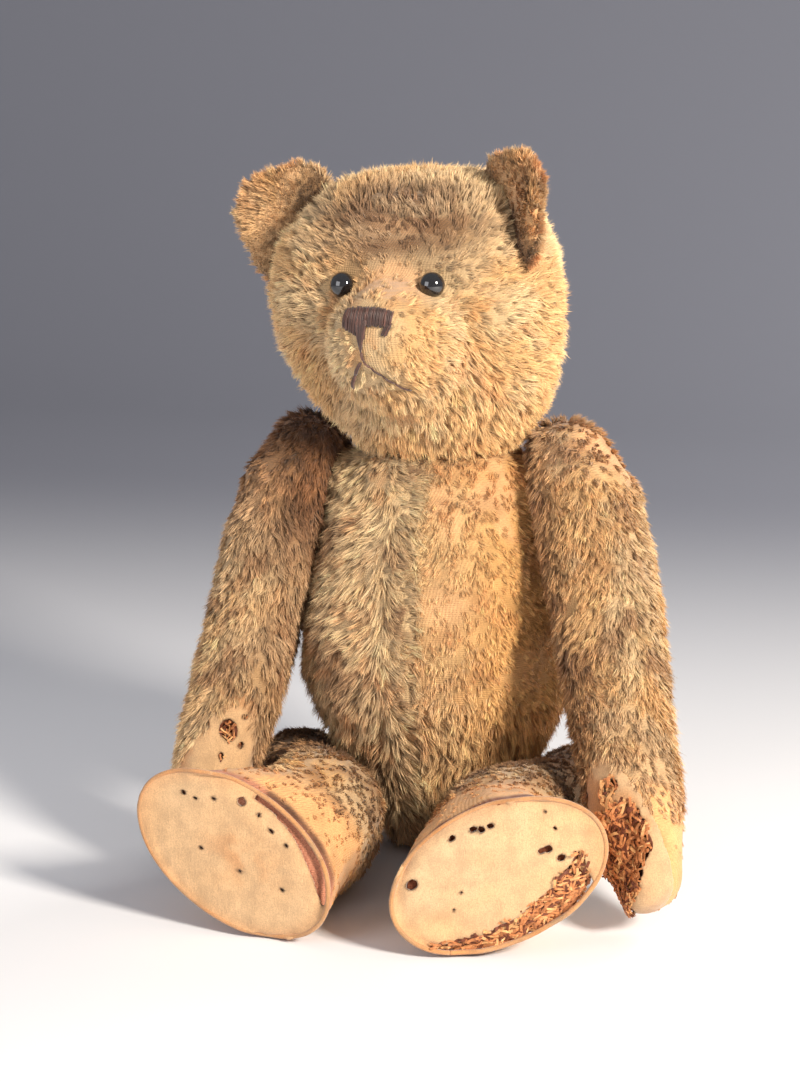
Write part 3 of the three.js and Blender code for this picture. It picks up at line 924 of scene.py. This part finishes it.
def felt_from(name, body, skin, keep, tone, lift, replaced):
    """A pad of felt laid on the part of a skin that keep picks, with its torn edges left ragged."""
    shape = bmesh.new()
    shape.from_mesh(skin.data)
    normals = normals_of(skin.data)
    for vertex, normal in zip(shape.verts, normals):
        vertex.co += Vector(normal * lift)
    points = np.array([v.co for v in shape.verts])
    wide = keep(points, 2.5 * MM)
    spare = [v for v, kept in zip(shape.verts, wide) if not kept]
    bmesh.ops.delete(shape, geom=spare, context="VERTS")
    bmesh.ops.subdivide_edges(shape, edges=shape.edges, cuts=1, use_grid_fill=True)
    middles = np.array([f.calc_center_median() for f in shape.faces])
    kept = keep(middles, 0)
    bmesh.ops.delete(shape, geom=[f for f, k in zip(shape.faces, kept) if not k], context="FACES")
    loose = [v for v in shape.verts if not v.link_faces]
    bmesh.ops.delete(shape, geom=loose, context="VERTS")
    for _ in range(RIM_ROUNDS):
        rim = [v for v in shape.verts if v.is_boundary]
        bmesh.ops.smooth_vert(shape, verts=rim, factor=0.5, use_axis_x=True, use_axis_y=True, use_axis_z=True)
    return felt_piece(name, body, mesh_of(name, shape), tone, replaced)


def felt_piece(name, body, mesh, tone, replaced):
    largest_shell(mesh)
    piece = own(name, mesh)
    thick = piece.modifiers.new("thick", "SOLIDIFY")
    thick.thickness = FELT_T
    thick.offset = -1
    settle(piece)
    smooth(piece.data)
    return dress(piece, body, "felt", felt, tone, replaced)


# ---- arms ----
# Long curved arms that hang from the shoulder discs, with a felt palm let into the inside of each paw. The
# right shoulder is dark and matted, the left one is bald, and the left palm has burst open.
WRIST = 74 * MM
ARM_CORE = 22 * MM
ARMS = {
    "right_arm": {"side": -1, "swing": 23, "length": 206 * MM, "seed": 71},
    "left_arm": {"side": 1, "swing": 31, "length": 235 * MM, "seed": 81},
}
# Holes in the palms: the middle across and up the palm, and the half width and height, in mm.
PALM_HOLES = {
    "right": [
        (2, -12, 4.6, 5.4), (-9, -9, 1.5, 2), (8, -20, 1.6, 1.3), (-3, -24, 1.2, 1.6), (11, -6, 1.4, 1.2),
    ],
    "left": [(14, -46, 16.5, 28), (3, -12, 3.0, 4.6)],
}
for joint in frame["joints"]:
    if joint["child"] in ARMS:
        arm = ARMS[joint["child"]]
        arm["out"] = unit(np.array(joint["axis"])) * (-1 if joint["axis"][0] * arm["side"] < 0 else 1)


def arm_axes(arm):
    """The arm's own axes: ahead, away from the body and down towards the paw."""
    up = np.array([0, 0, 1.0])
    first = unit(np.cross(up, arm["out"]))
    second = np.cross(arm["out"], first)
    turn = math.radians(-arm["side"] * arm["swing"])
    x = first * math.cos(turn) + second * math.sin(turn)
    y = second * math.cos(turn) - first * math.sin(turn)
    return np.stack([-arm["side"] * x, arm["out"], -y])


def make_arm(body, arm):
    side, seed = body.split("_")[0], arm["seed"]
    hinge = hinge_of[body]
    axes = arm_axes(arm)
    ahead, away, down = axes
    wrist = hinge + ahead * 25 * MM + down * (arm["length"] - WRIST) + away * ARM_CORE
    facing = unit(ahead + 0.34 * down - 0.5 * away)
    palm_x = unit(np.cross(np.array([0, 0, 1.0]), facing))
    palm_y = np.cross(facing, palm_x)
    left = side == "left"
    skin = forms[body]
    arm_end = arm["length"]

    def on_arm(points):
        return (points - hinge) @ axes.T

    def palm_place(points):
        gap = points - wrist
        return gap @ palm_x, gap @ palm_y, gap @ facing

    def palm_height(points):
        return palm_place(points)[2]

    def torn(points):
        """How far inside a tear each point is: above 0 in the tear."""
        x, y, z = palm_place(points)
        ragged = (cloud(points, 5 * MM, seed + 3) - 0.5) * 5 * MM
        inside = np.full(len(points), -1.0)
        for hx, hy, rx, ry in PALM_HOLES[side]:
            grown = (x / MM - hx) ** 2 / rx**2 + (y / MM - hy) ** 2 / ry**2
            share = ragged / MM * (0.9 if max(rx, ry) > 8 else 0.25)
            inside = np.maximum(inside, (1 - np.sqrt(grown)) * min(rx, ry) + share)
        return np.where(z > -6 * MM, inside * MM, -1.0)

    def arm_wear(points):
        place = on_arm(points)
        ragged = 0.55 + 0.9 * cloud(points, 10 * MM, seed + 4)
        if left:
            bare = 0.9 * blot(place, (6, 42, -8), (24, 30, 22))
            bare = bare + blot(place, (2, 34, 215), (60, 34, 42)) * 1.2
        else:
            bare = 0.9 * blot(place, (10, 40, 10), (24, 26, 34))
            bare = bare + 0.3 * blot(place, (0, 40, 200), (50, 40, 30))
        return np.clip(bare * ragged, 0, 1)

    def arm_tone(points):
        place = on_arm(points)
        tone = mix(STRAW, DUST, 0.75 * cloud(points, 30 * MM, seed + 5))
        tone = mix(tone, GOLD, (0.5 if left else 0.25) * patches(points, 24, seed + 6, 0.4, 0.6))
        tone = mix(tone, UMBER, 0.6 * patches(points, 12, seed + 7, 0.5, 0.7))
        if not left:
            dark = ease(75 * MM, 5 * MM, place[:, 2] + 0.8 * np.abs(place[:, 1] - 10 * MM))
            tone = mix(tone, UMBER, 0.85 * dark)
            tone = mix(tone, DEEP_BROWN, 0.85 * dark * patches(points, 14, seed + 8, 0.4, 0.6))
        # Painted shade: the side of the arm that faces the body is darkened, for the shade between arm and body.
        inner = ease(22 * MM, 4 * MM, place[:, 1])
        tone = mix(tone, UMBER, 0.45 * inner)
        return mix(tone, GROUND, (0.85 if left else 0.3) * arm_wear(points))

    def arm_length(points):
        place = on_arm(points)
        return (7.5 - 3 * arm_wear(points) - 3 * ease(arm_end - 70 * MM, arm_end - 20 * MM, place[:, 2])) * MM

    def arm_nap(points):
        return np.tile(down + 0.15 * ahead, (len(points), 1))

    mesh = skin.data
    points, normals = points_of(mesh), normals_of(mesh)
    still = ease(26 * MM, 44 * MM, np.linalg.norm(points - hinge, axis=1))
    lumps = (cloud(points, 26 * MM, seed) - 0.5) * 3.4 * MM
    put_points(mesh, points + normals * (lumps * still)[:, None])
    points = points_of(mesh)
    palm = palm_height(points)

    def palm_keep(points, slack):
        return (palm_height(points) > 0.4 * MM - slack) & (torn(points) < slack)

    def palm_tone(points):
        tone = mix(FELT, FELT_GREY, (0.75 if left else 0.35) * cloud(points, 22 * MM, seed + 9))
        tone = mix(tone, FELT_STAIN, 0.6 * patches(points, 16, seed + 10, 0.5, 0.72))
        return mix(tone, FELT_EDGE, 0.75 * ease(-1.6 * MM, 0.2 * MM, torn(points)))

    felt_from(f"{side}_palm", body, skin, palm_keep, palm_tone, 0.5 * MM, f"{side}_paw_pad")
    hole = ease(-1 * MM, 4 * MM, torn(points))
    sink(skin, hole * (5.5 if left else 4.5) * MM + 1.3 * MM * ease(0.6 * MM, 1.6 * MM, palm) * (1 - hole))

    def arm_ground(points):
        bare = ease(0.3, 0.7, arm_wear(points))
        worn = GROUND * 0.55 if not left else GROUND
        paw = ease(120 * MM, 180 * MM, on_arm(points)[:, 2])
        # Painted shade: under the pile the ground takes the hair's tone darkened to 0.75, for the shade beneath
        # the hair.
        base = mix(arm_tone(points) * 0.75, mix(whole(worn, points), PEEL, paw), bare)
        return mix(base, SHAVING_DARK * 0.8, ease(-0.5 * MM, 0.5 * MM, torn(points)))

    finish_skin(body, arm_ground, f"{side}_arm_cover", f"{side}_arm_stuffing")

    def arm_amount(points):
        felted = ease(-0.6 * MM, 0.6 * MM, palm_height(points))
        return (1 - (0.93 if left else 0.7) * arm_wear(points)) * (1 - felted)

    grow(f"{side}_arm_pile", skin, body, 80000, seed, arm_nap, arm_length, arm_amount, arm_tone)
    points, normals = points_of(mesh), normals_of(mesh)
    open_spots = np.nonzero(torn(points + normals * 4 * MM) > (-1.0 if left else 0.2) * MM)[0]
    if left:
        wad = {"count": 620, "long": (10, 30), "wide": (0.7, 1.6)}
    else:
        wad = {"count": 40, "long": (5, 9), "wide": (0.5, 1.0)}
    leads = np.tile(down, (len(open_spots), 1))
    lifted = points[open_spots] + normals[open_spots] * (4.2 if left else 1.8) * MM
    tangle_of(f"{side}_paw_wool", body, lifted, normals[open_spots], leads, seed + 11, **wad)


for body, arm in ARMS.items():
    make_arm(body, arm)

# ---- legs ----
# Bent legs that lie forward from the hip discs, with big feet rolled outward. Their pile is worn short, the
# sides of the feet are bare, and each sole is an oval of felt over a card: the right one has come
# away along its inner edge, and the left one has lost a strip along its outer edge.
LEGS = {
    "right_leg": {"side": -1, "out": 70, "reach": 160, "toe": 29, "seed": 91},
    "left_leg": {"side": 1, "out": 65, "reach": 166, "toe": 27, "seed": 101},
}
SOLE_LONG = 55.6 * MM
SOLE_WIDE = 34.6 * MM
SOLE_HEIGHT = 42.5
SOLE_GRID = (104, 66)
WELT_RADIUS = 1.3 * MM
# Moths eat along a track: each row of holes has a count, its two ends along and across the sole in mm, and
# the usual half size of a hole.
MOTH_TRACKS = {
    "right": [
        (3, (20, -20), (35, -10), 1.0),
        (4, (5, -25), (-25, -20), 1.0),
        (3, (-45, 0), (30, 10), 1.0),
        (1, (10, -30), (10, -30), 1.8),
    ],
    "left": [
        (4, (-15, 25), (15, 25), 1.6),
        (3, (25, 10), (30, -5), 1.7),
        (2, (35, 20), (35, 10), 0.9),
        (1, (-40, 15), (-40, 15), 3.4),
        (2, (-20, 5), (-30, -10), 0.8),
    ],
}
TRACK_WANDER = 2.0


def moth_holes(side, seed):
    """The holes of one sole: each a middle and a half width and height, in mm."""
    random = np.random.default_rng(seed)
    holes = []
    for count, start, end, size in MOTH_TRACKS[side]:
        for share in (np.arange(count) + 0.5) / count:
            middle = np.array(start) + (np.array(end) - start) * share
            along, across = middle + random.normal(0, TRACK_WANDER, 2)
            holes.append((along, across, size * random.uniform(0.7, 1.3), size * random.uniform(0.6, 1.1)))
    return holes


def sole_share(x, y):
    """How far out a place on the sole's plane is, where 1 is the sole's edge."""
    return np.sqrt((x / SOLE_LONG) ** 2 + (y / SOLE_WIDE) ** 2)


def make_leg(body, leg):
    side, seed, sign = body.split("_")[0], leg["seed"], leg["side"]
    left = side == "left"
    sole_at = np.array([sign * leg["out"], -leg["reach"], SOLE_HEIGHT]) * MM
    facing = unit(np.array([sign * 0.17, -0.985, 0]))
    toe = math.radians(leg["toe"])
    toes = np.array([sign * math.cos(toe), 0, math.sin(toe)])
    over = unit(np.cross(facing, toes))
    toes = np.cross(over, facing)
    skin = forms[body]
    hinge = hinge_of[body]

    def sole_place(points):
        gap = points - sole_at
        return gap @ toes, gap @ over, gap @ facing

    def gone(points):
        """How far inside the strip that the sole has lost each point is."""
        x, y, _ = sole_place(points)
        ragged = (cloud(points, 6 * MM, seed + 3) - 0.5) * 2.5 * MM
        if left:
            edge = (-23.5 + 0.006 * (x / MM + 14) ** 2) * MM
            ends = np.minimum(x + 56 * MM, 40 * MM - x)
            return np.minimum(edge - y, ends * 0.6) + ragged
        edge = (-31.5 + 0.0100 * np.minimum(x / MM, 0) ** 2) * MM
        ends = np.minimum(x + 52 * MM, 4 * MM - x)
        return np.minimum(edge - y, ends * 0.5) + ragged * 0.4

    def leg_wear(points):
        _, _, z = sole_place(points)
        ragged = 0.5 + 0.9 * cloud(points, 12 * MM, seed + 4)
        foot = ease(-70 * MM, -8 * MM, z)
        upper = ease(30 * MM, 75 * MM, points[:, 2]) * (0 if left else 0.5)
        return np.clip((1.3 * foot - upper) * ragged, 0, 1)

    def leg_tone(points):
        _, _, z = sole_place(points)
        tone = mix(STRAW, DUST, 0.6 * cloud(points, 26 * MM, seed + 5))
        tone = mix(tone, GOLD, 0.65 * patches(points, 24, seed + 6, 0.4, 0.6))
        tone = mix(tone, UMBER, 0.55 * patches(points, 14, seed + 7, 0.5, 0.7))
        # Painted shadow: the leg is darkened further back from the sole, towards the body, where the body's shadow
        # falls on its upper part.
        tone = mix(tone, UMBER * 0.8, 0.7 * ease(-55 * MM, -115 * MM, z))
        tone = mix(tone, PEEL, 0.85 * ease(0.1, 0.8, leg_wear(points)))
        return mix(tone, RUST, 0.6 * ease(-60 * MM, -15 * MM, z) * cloud(points, 20 * MM, seed + 8))

    def leg_length(points):
        return (4.6 - 3.4 * leg_wear(points)) * MM

    def leg_nap(points):
        return whole(facing + np.array([0, 0, -0.5]), points)

    mesh = skin.data
    points, normals = points_of(mesh), normals_of(mesh)
    x, y, z = sole_place(points)
    still = ease(24 * MM, 44 * MM, np.linalg.norm(points - hinge, axis=1)) * ease(-2 * MM, -14 * MM, z)
    still *= ease(2 * MM, 12 * MM, points[:, 2])
    lumps = (cloud(points, 30 * MM, seed) - 0.5) * 3.4 * MM
    put_points(mesh, points + normals * (lumps * still)[:, None])
    tree = BVHTree.FromObject(skin, bpy.context.evaluated_depsgraph_get())

    # The sole: a grid drawn round into an oval and laid on the front of the foot.
    columns, rows = SOLE_GRID
    u, v = np.meshgrid(np.linspace(-1, 1, columns), np.linspace(-1, 1, rows))
    round_x = (u * np.sqrt(1 - v * v / 2)).ravel() * SOLE_LONG
    round_y = (v * np.sqrt(1 - u * u / 2)).ravel() * SOLE_WIDE
    spread = []
    for a, b in zip(round_x, round_y):
        start = sole_at + toes * a + over * b + facing * 30 * MM
        hit = tree.ray_cast(Vector(start), Vector(-facing), 60 * MM)[0]
        depth = 0 if hit is None else (np.array(hit) - sole_at) @ facing
        spread.append(max(depth, -3.2 * MM))
    spread = np.array(spread).reshape(rows, columns)
    for _ in range(12):
        inner = (spread[:-2, 1:-1] + spread[2:, 1:-1] + spread[1:-1, :-2] + spread[1:-1, 2:]) / 4
        spread[1:-1, 1:-1] = inner
    flat = sole_at + round_x[:, None] * toes + round_y[:, None] * over
    puffed = cloud(flat, 18 * MM, seed + 12) * 1.2 * MM
    laid = flat + facing * (spread.ravel() + 0.2 * MM + puffed)[:, None]
    grid = np.arange(rows * columns).reshape(rows, columns)
    cells = np.stack([grid[:-1, :-1], grid[:-1, 1:], grid[1:, 1:], grid[1:, :-1]], axis=2).reshape(-1, 4)
    centres = laid[cells].mean(axis=1)

    holes = moth_holes(side, seed + 30)

    def eaten(points):
        """How far inside a moth hole each point is."""
        x, y, _ = sole_place(points)
        wobble = (cloud(points, 2.5 * MM, seed + 13) - 0.5) * 0.7
        inside = np.full(len(points), -9.0)
        for hx, hy, rx, ry in holes:
            share = np.sqrt(((x / MM - hx) / rx) ** 2 + ((y / MM - hy) / ry) ** 2)
            inside = np.maximum(inside, (1 - share) * min(rx, ry) + wobble)
        return inside * MM

    kept = (gone(centres) < 0) & (eaten(centres) < 0.1 * MM)
    mesh_sole = bpy.data.meshes.new(f"{side}_sole")
    mesh_sole.from_pydata([tuple(p) for p in laid], [], [tuple(c) for c in cells[kept].tolist()])
    shape = bmesh.new()
    shape.from_mesh(mesh_sole)
    bmesh.ops.delete(shape, geom=[w for w in shape.verts if not w.link_faces], context="VERTS")
    bmesh.ops.recalc_face_normals(shape, faces=shape.faces)
    if sum((Vector(facing).dot(f.normal) for f in shape.faces)) < 0:
        bmesh.ops.reverse_faces(shape, faces=shape.faces)
    rim = [w for w in shape.verts if w.is_boundary]
    for _ in range(2):
        bmesh.ops.smooth_vert(shape, verts=rim, factor=0.5, use_axis_x=True, use_axis_y=True, use_axis_z=True)
    shape.to_mesh(mesh_sole)
    shape.free()

    def sole_tone(points):
        x, y, _ = sole_place(points)
        tone = mix(FELT, FELT_GREY, (0.9 if left else 0.5) * patches(points, 34, seed + 14, 0.3, 0.7))
        stain_x, strength = (25 * MM, 0.2) if left else (4 * MM, 0.65)
        stain = np.exp(-(((x + stain_x) / (18 * MM)) ** 2 + ((y + 2 * MM) / (13 * MM)) ** 2))
        tone = mix(tone, FELT_STAIN, strength * stain * patches(points, 9, seed + 15, 0.3, 0.6))
        edge = ease(0.8, 1.0, sole_share(x, y))
        tone = mix(tone, FELT_STAIN, 0.35 * edge)
        tone = mix(tone, FELT_EDGE, 0.6 * ease(-1.2 * MM, 0.1 * MM, gone(points)))
        return mix(tone, DEEP_BROWN * 0.6, 0.85 * ease(-0.8 * MM, 0.1 * MM, eaten(points)))

    felt_piece(f"{side}_sole", body, mesh_sole, sole_tone, f"{side}_foot_sole")

    # The rim of the foot is gathered over the sole's edge in a narrow roll.
    edge = np.concatenate([grid[0, :-1], grid[:-1, -1], grid[-1, :0:-1], grid[:0:-1, 0]])
    heights = (laid[edge] - sole_at) @ facing
    for _ in range(40):
        heights = (np.roll(heights, 1) + heights + np.roll(heights, -1)) / 3
    ring = flat[edge] + facing * (heights - 0.8 * MM)[:, None]
    shape = bmesh.new()
    tube(shape, np.concatenate([ring, ring[:2]])[::2], WELT_RADIUS, taper=1)
    bmesh.ops.recalc_face_normals(shape, faces=shape.faces)
    mesh_welt = mesh_of(f"{side}_sole_welt", shape)
    points = points_of(mesh_welt)
    tint(mesh_welt, mix(whole(RUST, points) * 0.9, DUST * 0.8, cloud(points, 9 * MM, seed + 20)))
    seat(own(f"{side}_sole_welt", mesh_welt), body, "plush", felt)

    points = points_of(mesh)
    x, y, z = sole_place(points)
    oval = sole_share(x, y)
    front = ease(-9 * MM, -4 * MM, z)
    lost = ease(-1 * MM, 2 * MM, gone(points)) * ease(1.12, 1.0, oval) * front
    under = ease(1.0, 0.92, oval) * front
    push = under * 1.8 * MM + lost * (3.2 if left else 0.6) * MM
    put_points(mesh, points - facing * push[:, None])

    def leg_ground(points):
        x, y, z = sole_place(points)
        oval = sole_share(x, y)
        front = ease(-12 * MM, -7 * MM, z)
        # Painted shade: under the pile the ground takes the hair's tone darkened to 0.8, for the shade beneath the
        # hair.
        base = mix(leg_tone(points) * 0.8, PEEL, ease(0.2, 0.7, leg_wear(points)))
        base = mix(base, SHAVING_DARK if left else LINING, front * ease(1.1, 1.02, oval))
        # Painted shade: a dark line just outside the sole's edge where it has come away, for the shade in the gap
        # under it.
        slit_shade = np.exp(-(((oval - 1.03) / 0.05) ** 2)) * ease(0, 2 * MM, gone(points)) * front
        return mix(base, DEEP_BROWN * 0.3, slit_shade * (0.5 if left else 0.95))

    finish_skin(body, leg_ground, f"{side}_leg_cover", f"{side}_leg_stuffing", f"{side}_foot_insole")

    def leg_amount(points):
        _, _, z = sole_place(points)
        return (1 - 0.7 * leg_wear(points)) * ease(-6 * MM, -10 * MM, z) * ease(-1 * MM, 3 * MM, points[:, 2])

    grow(f"{side}_leg_pile", skin, body, 54000, seed, leg_nap, leg_length, leg_amount, leg_tone, rise=0.35)
    if left:
        points = points_of(mesh)
        x, y, z = sole_place(points)
        oval = sole_share(x, y)
        open_spots = np.nonzero((gone(points) > -1 * MM) & (oval < 0.97) & (z > -9 * MM))[0]
        lifted = points[open_spots] + facing * 3.4 * MM
        leads = np.tile(toes, (len(open_spots), 1))
        ups = np.tile(facing, (len(open_spots), 1))
        wad = {"count": 620, "long": (8, 24), "wide": (0.6, 1.4), "loose": 1.2}
        tangle_of("left_foot_wool", body, lifted, ups, leads, seed + 16, **wad)


for body, leg in LEGS.items():
    make_leg(body, leg)

# ---- joints ----
# Each joint is a pair of hardboard discs, one in the body and one in the limb, with a steel washer behind
# each and a pin through all four. They stay as the frame has them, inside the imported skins.
board, _ = coloured("board", 0.85, (150, 1400, 0.4), paint(150, 118, 84))
steel, _ = coloured("steel", 0.42, (400, 2500, 0.5), paint(150, 142, 132), Metallic=1.0)
for name, part in frame["nodes"].items():
    if name.endswith(("_disc", "_washer", "_pin")):
        part.data.materials.clear()
        part.data.materials.append(board if name.endswith("_disc") else steel)

# ---- floor, light and camera ----
# A plain pale floor that curves up behind, painted darker towards the back as painted shade where the lamps' light
# falls off, one large soft lamp ahead on the bear's left, a weak one on its right and a pale sky.
FLOOR_TONE = (0.84, 0.84, 0.86, 1)
# Painted shade: the dark far colour of the sweep stands in for the lamps' light falling off.
FAR_WALL_SHADE = (0.2, 0.205, 0.24, 1)
FLOOR_FRONT = -3.0
FLOOR_DROP = 0.3 * MM
BEND_START = 1.2
BEND_RADIUS = 0.9
BEND_STEPS = 16
WALL_TOP = 4.0
sweep = bmesh.new()
profile = [(FLOOR_FRONT, 0.0), (BEND_START, 0.0)]
for k in range(1, BEND_STEPS + 1):
    turn = math.radians(90 * k / BEND_STEPS)
    profile.append((BEND_START + BEND_RADIUS * math.sin(turn), BEND_RADIUS - BEND_RADIUS * math.cos(turn)))
profile.append((BEND_START + BEND_RADIUS, WALL_TOP))
edge_rows = [[sweep.verts.new((x, y, z - FLOOR_DROP)) for x in (-4, 4)] for y, z in profile]
for lower, upper in zip(edge_rows, edge_rows[1:]):
    sweep.faces.new([lower[0], lower[1], upper[1], upper[0]])
floor = own("floor", mesh_of("floor", sweep))
# Painted falloff: the pale floor near the bear turns into a dark colour behind it, a painted shade for the light
# falling off with distance.
painted_falloff, given, result = node_group(
    "painted_falloff", [("Near", "NodeSocketColor", FLOOR_TONE), ("Far", "NodeSocketColor", FAR_WALL_SHADE)],
    [("Color", "NodeSocketColor")]
)
apart = node(painted_falloff, "SeparateXYZ", {0: node(painted_falloff, "TexCoord").outputs["Object"]})
share = {"Value": apart.outputs["Y"], "From Min": -0.1, "From Max": 0.95}
share = node(painted_falloff, "MapRange", share, interpolation_type="SMOOTHSTEP")
# The colour sockets of a mix node come after its number and vector ones.
blend = {"Factor": share.outputs[0], 6: given.outputs["Near"], 7: given.outputs["Far"]}
blend = node(painted_falloff, "Mix", blend, data_type="RGBA")
painted_falloff.links.new(blend.outputs[2], result.inputs["Color"])
plain, shader = material("floor_paint", 0.7)
falloff_node = use(plain, painted_falloff, Near=FLOOR_TONE, Far=FAR_WALL_SHADE)
plain.node_tree.links.new(falloff_node.outputs["Color"], shader.inputs["Base Color"])
floor.data.materials.append(plain)


def lamp(name, place, aim, size, power, colour):
    light = bpy.data.lights.new(name, "AREA")
    light.size = size
    light.energy = power
    light.color = colour
    piece = bpy.data.objects.new(name, light)
    piece.location = place
    piece.rotation_euler = (Vector(aim) - Vector(place)).to_track_quat("-Z", "Y").to_euler()
    scene.collection.objects.link(piece)


lamp("key", (1.55, -1.2, 1.15), (0, -0.05, 0.18), 0.4, 78, (1.0, 0.93, 0.83))
lamp("fill", (-1.2, -1.7, 0.8), (0, -0.05, 0.2), 1.2, 15, (0.97, 0.97, 1.0))
lamp("rim", (0.9, 1.3, 1.1), (0, 0, 0.25), 0.8, 16, (1.0, 0.97, 0.92))
sky = bpy.data.worlds.new("sky")
sky.use_nodes = True
glow = sky.node_tree.nodes["Background"]
glow.inputs["Color"].default_value = (0.66, 0.67, 0.72, 1)
glow.inputs["Strength"].default_value = 0.5
scene.world = sky
scene.view_settings.view_transform = "Standard"

AIM = Vector((0.020, -0.090, 0.190))
AZIMUTH = math.radians(12)
ELEVATION = math.radians(13)
DISTANCE = 1.5
level_back = Vector((math.sin(AZIMUTH), -math.cos(AZIMUTH), 0)) * math.cos(ELEVATION)
back = level_back + Vector((0, 0, math.sin(ELEVATION)))
lens = bpy.data.cameras.new("camera")
lens.lens = 99.8
lens.sensor_width = 36
lens.shift_x = -0.037
camera = bpy.data.objects.new("camera", lens)
camera.location = AIM + back * DISTANCE
camera.rotation_mode = "QUATERNION"
camera.rotation_quaternion = (-back).to_track_quat("-Z", "Y")
scene.collection.objects.link(camera)
scene.camera = camera
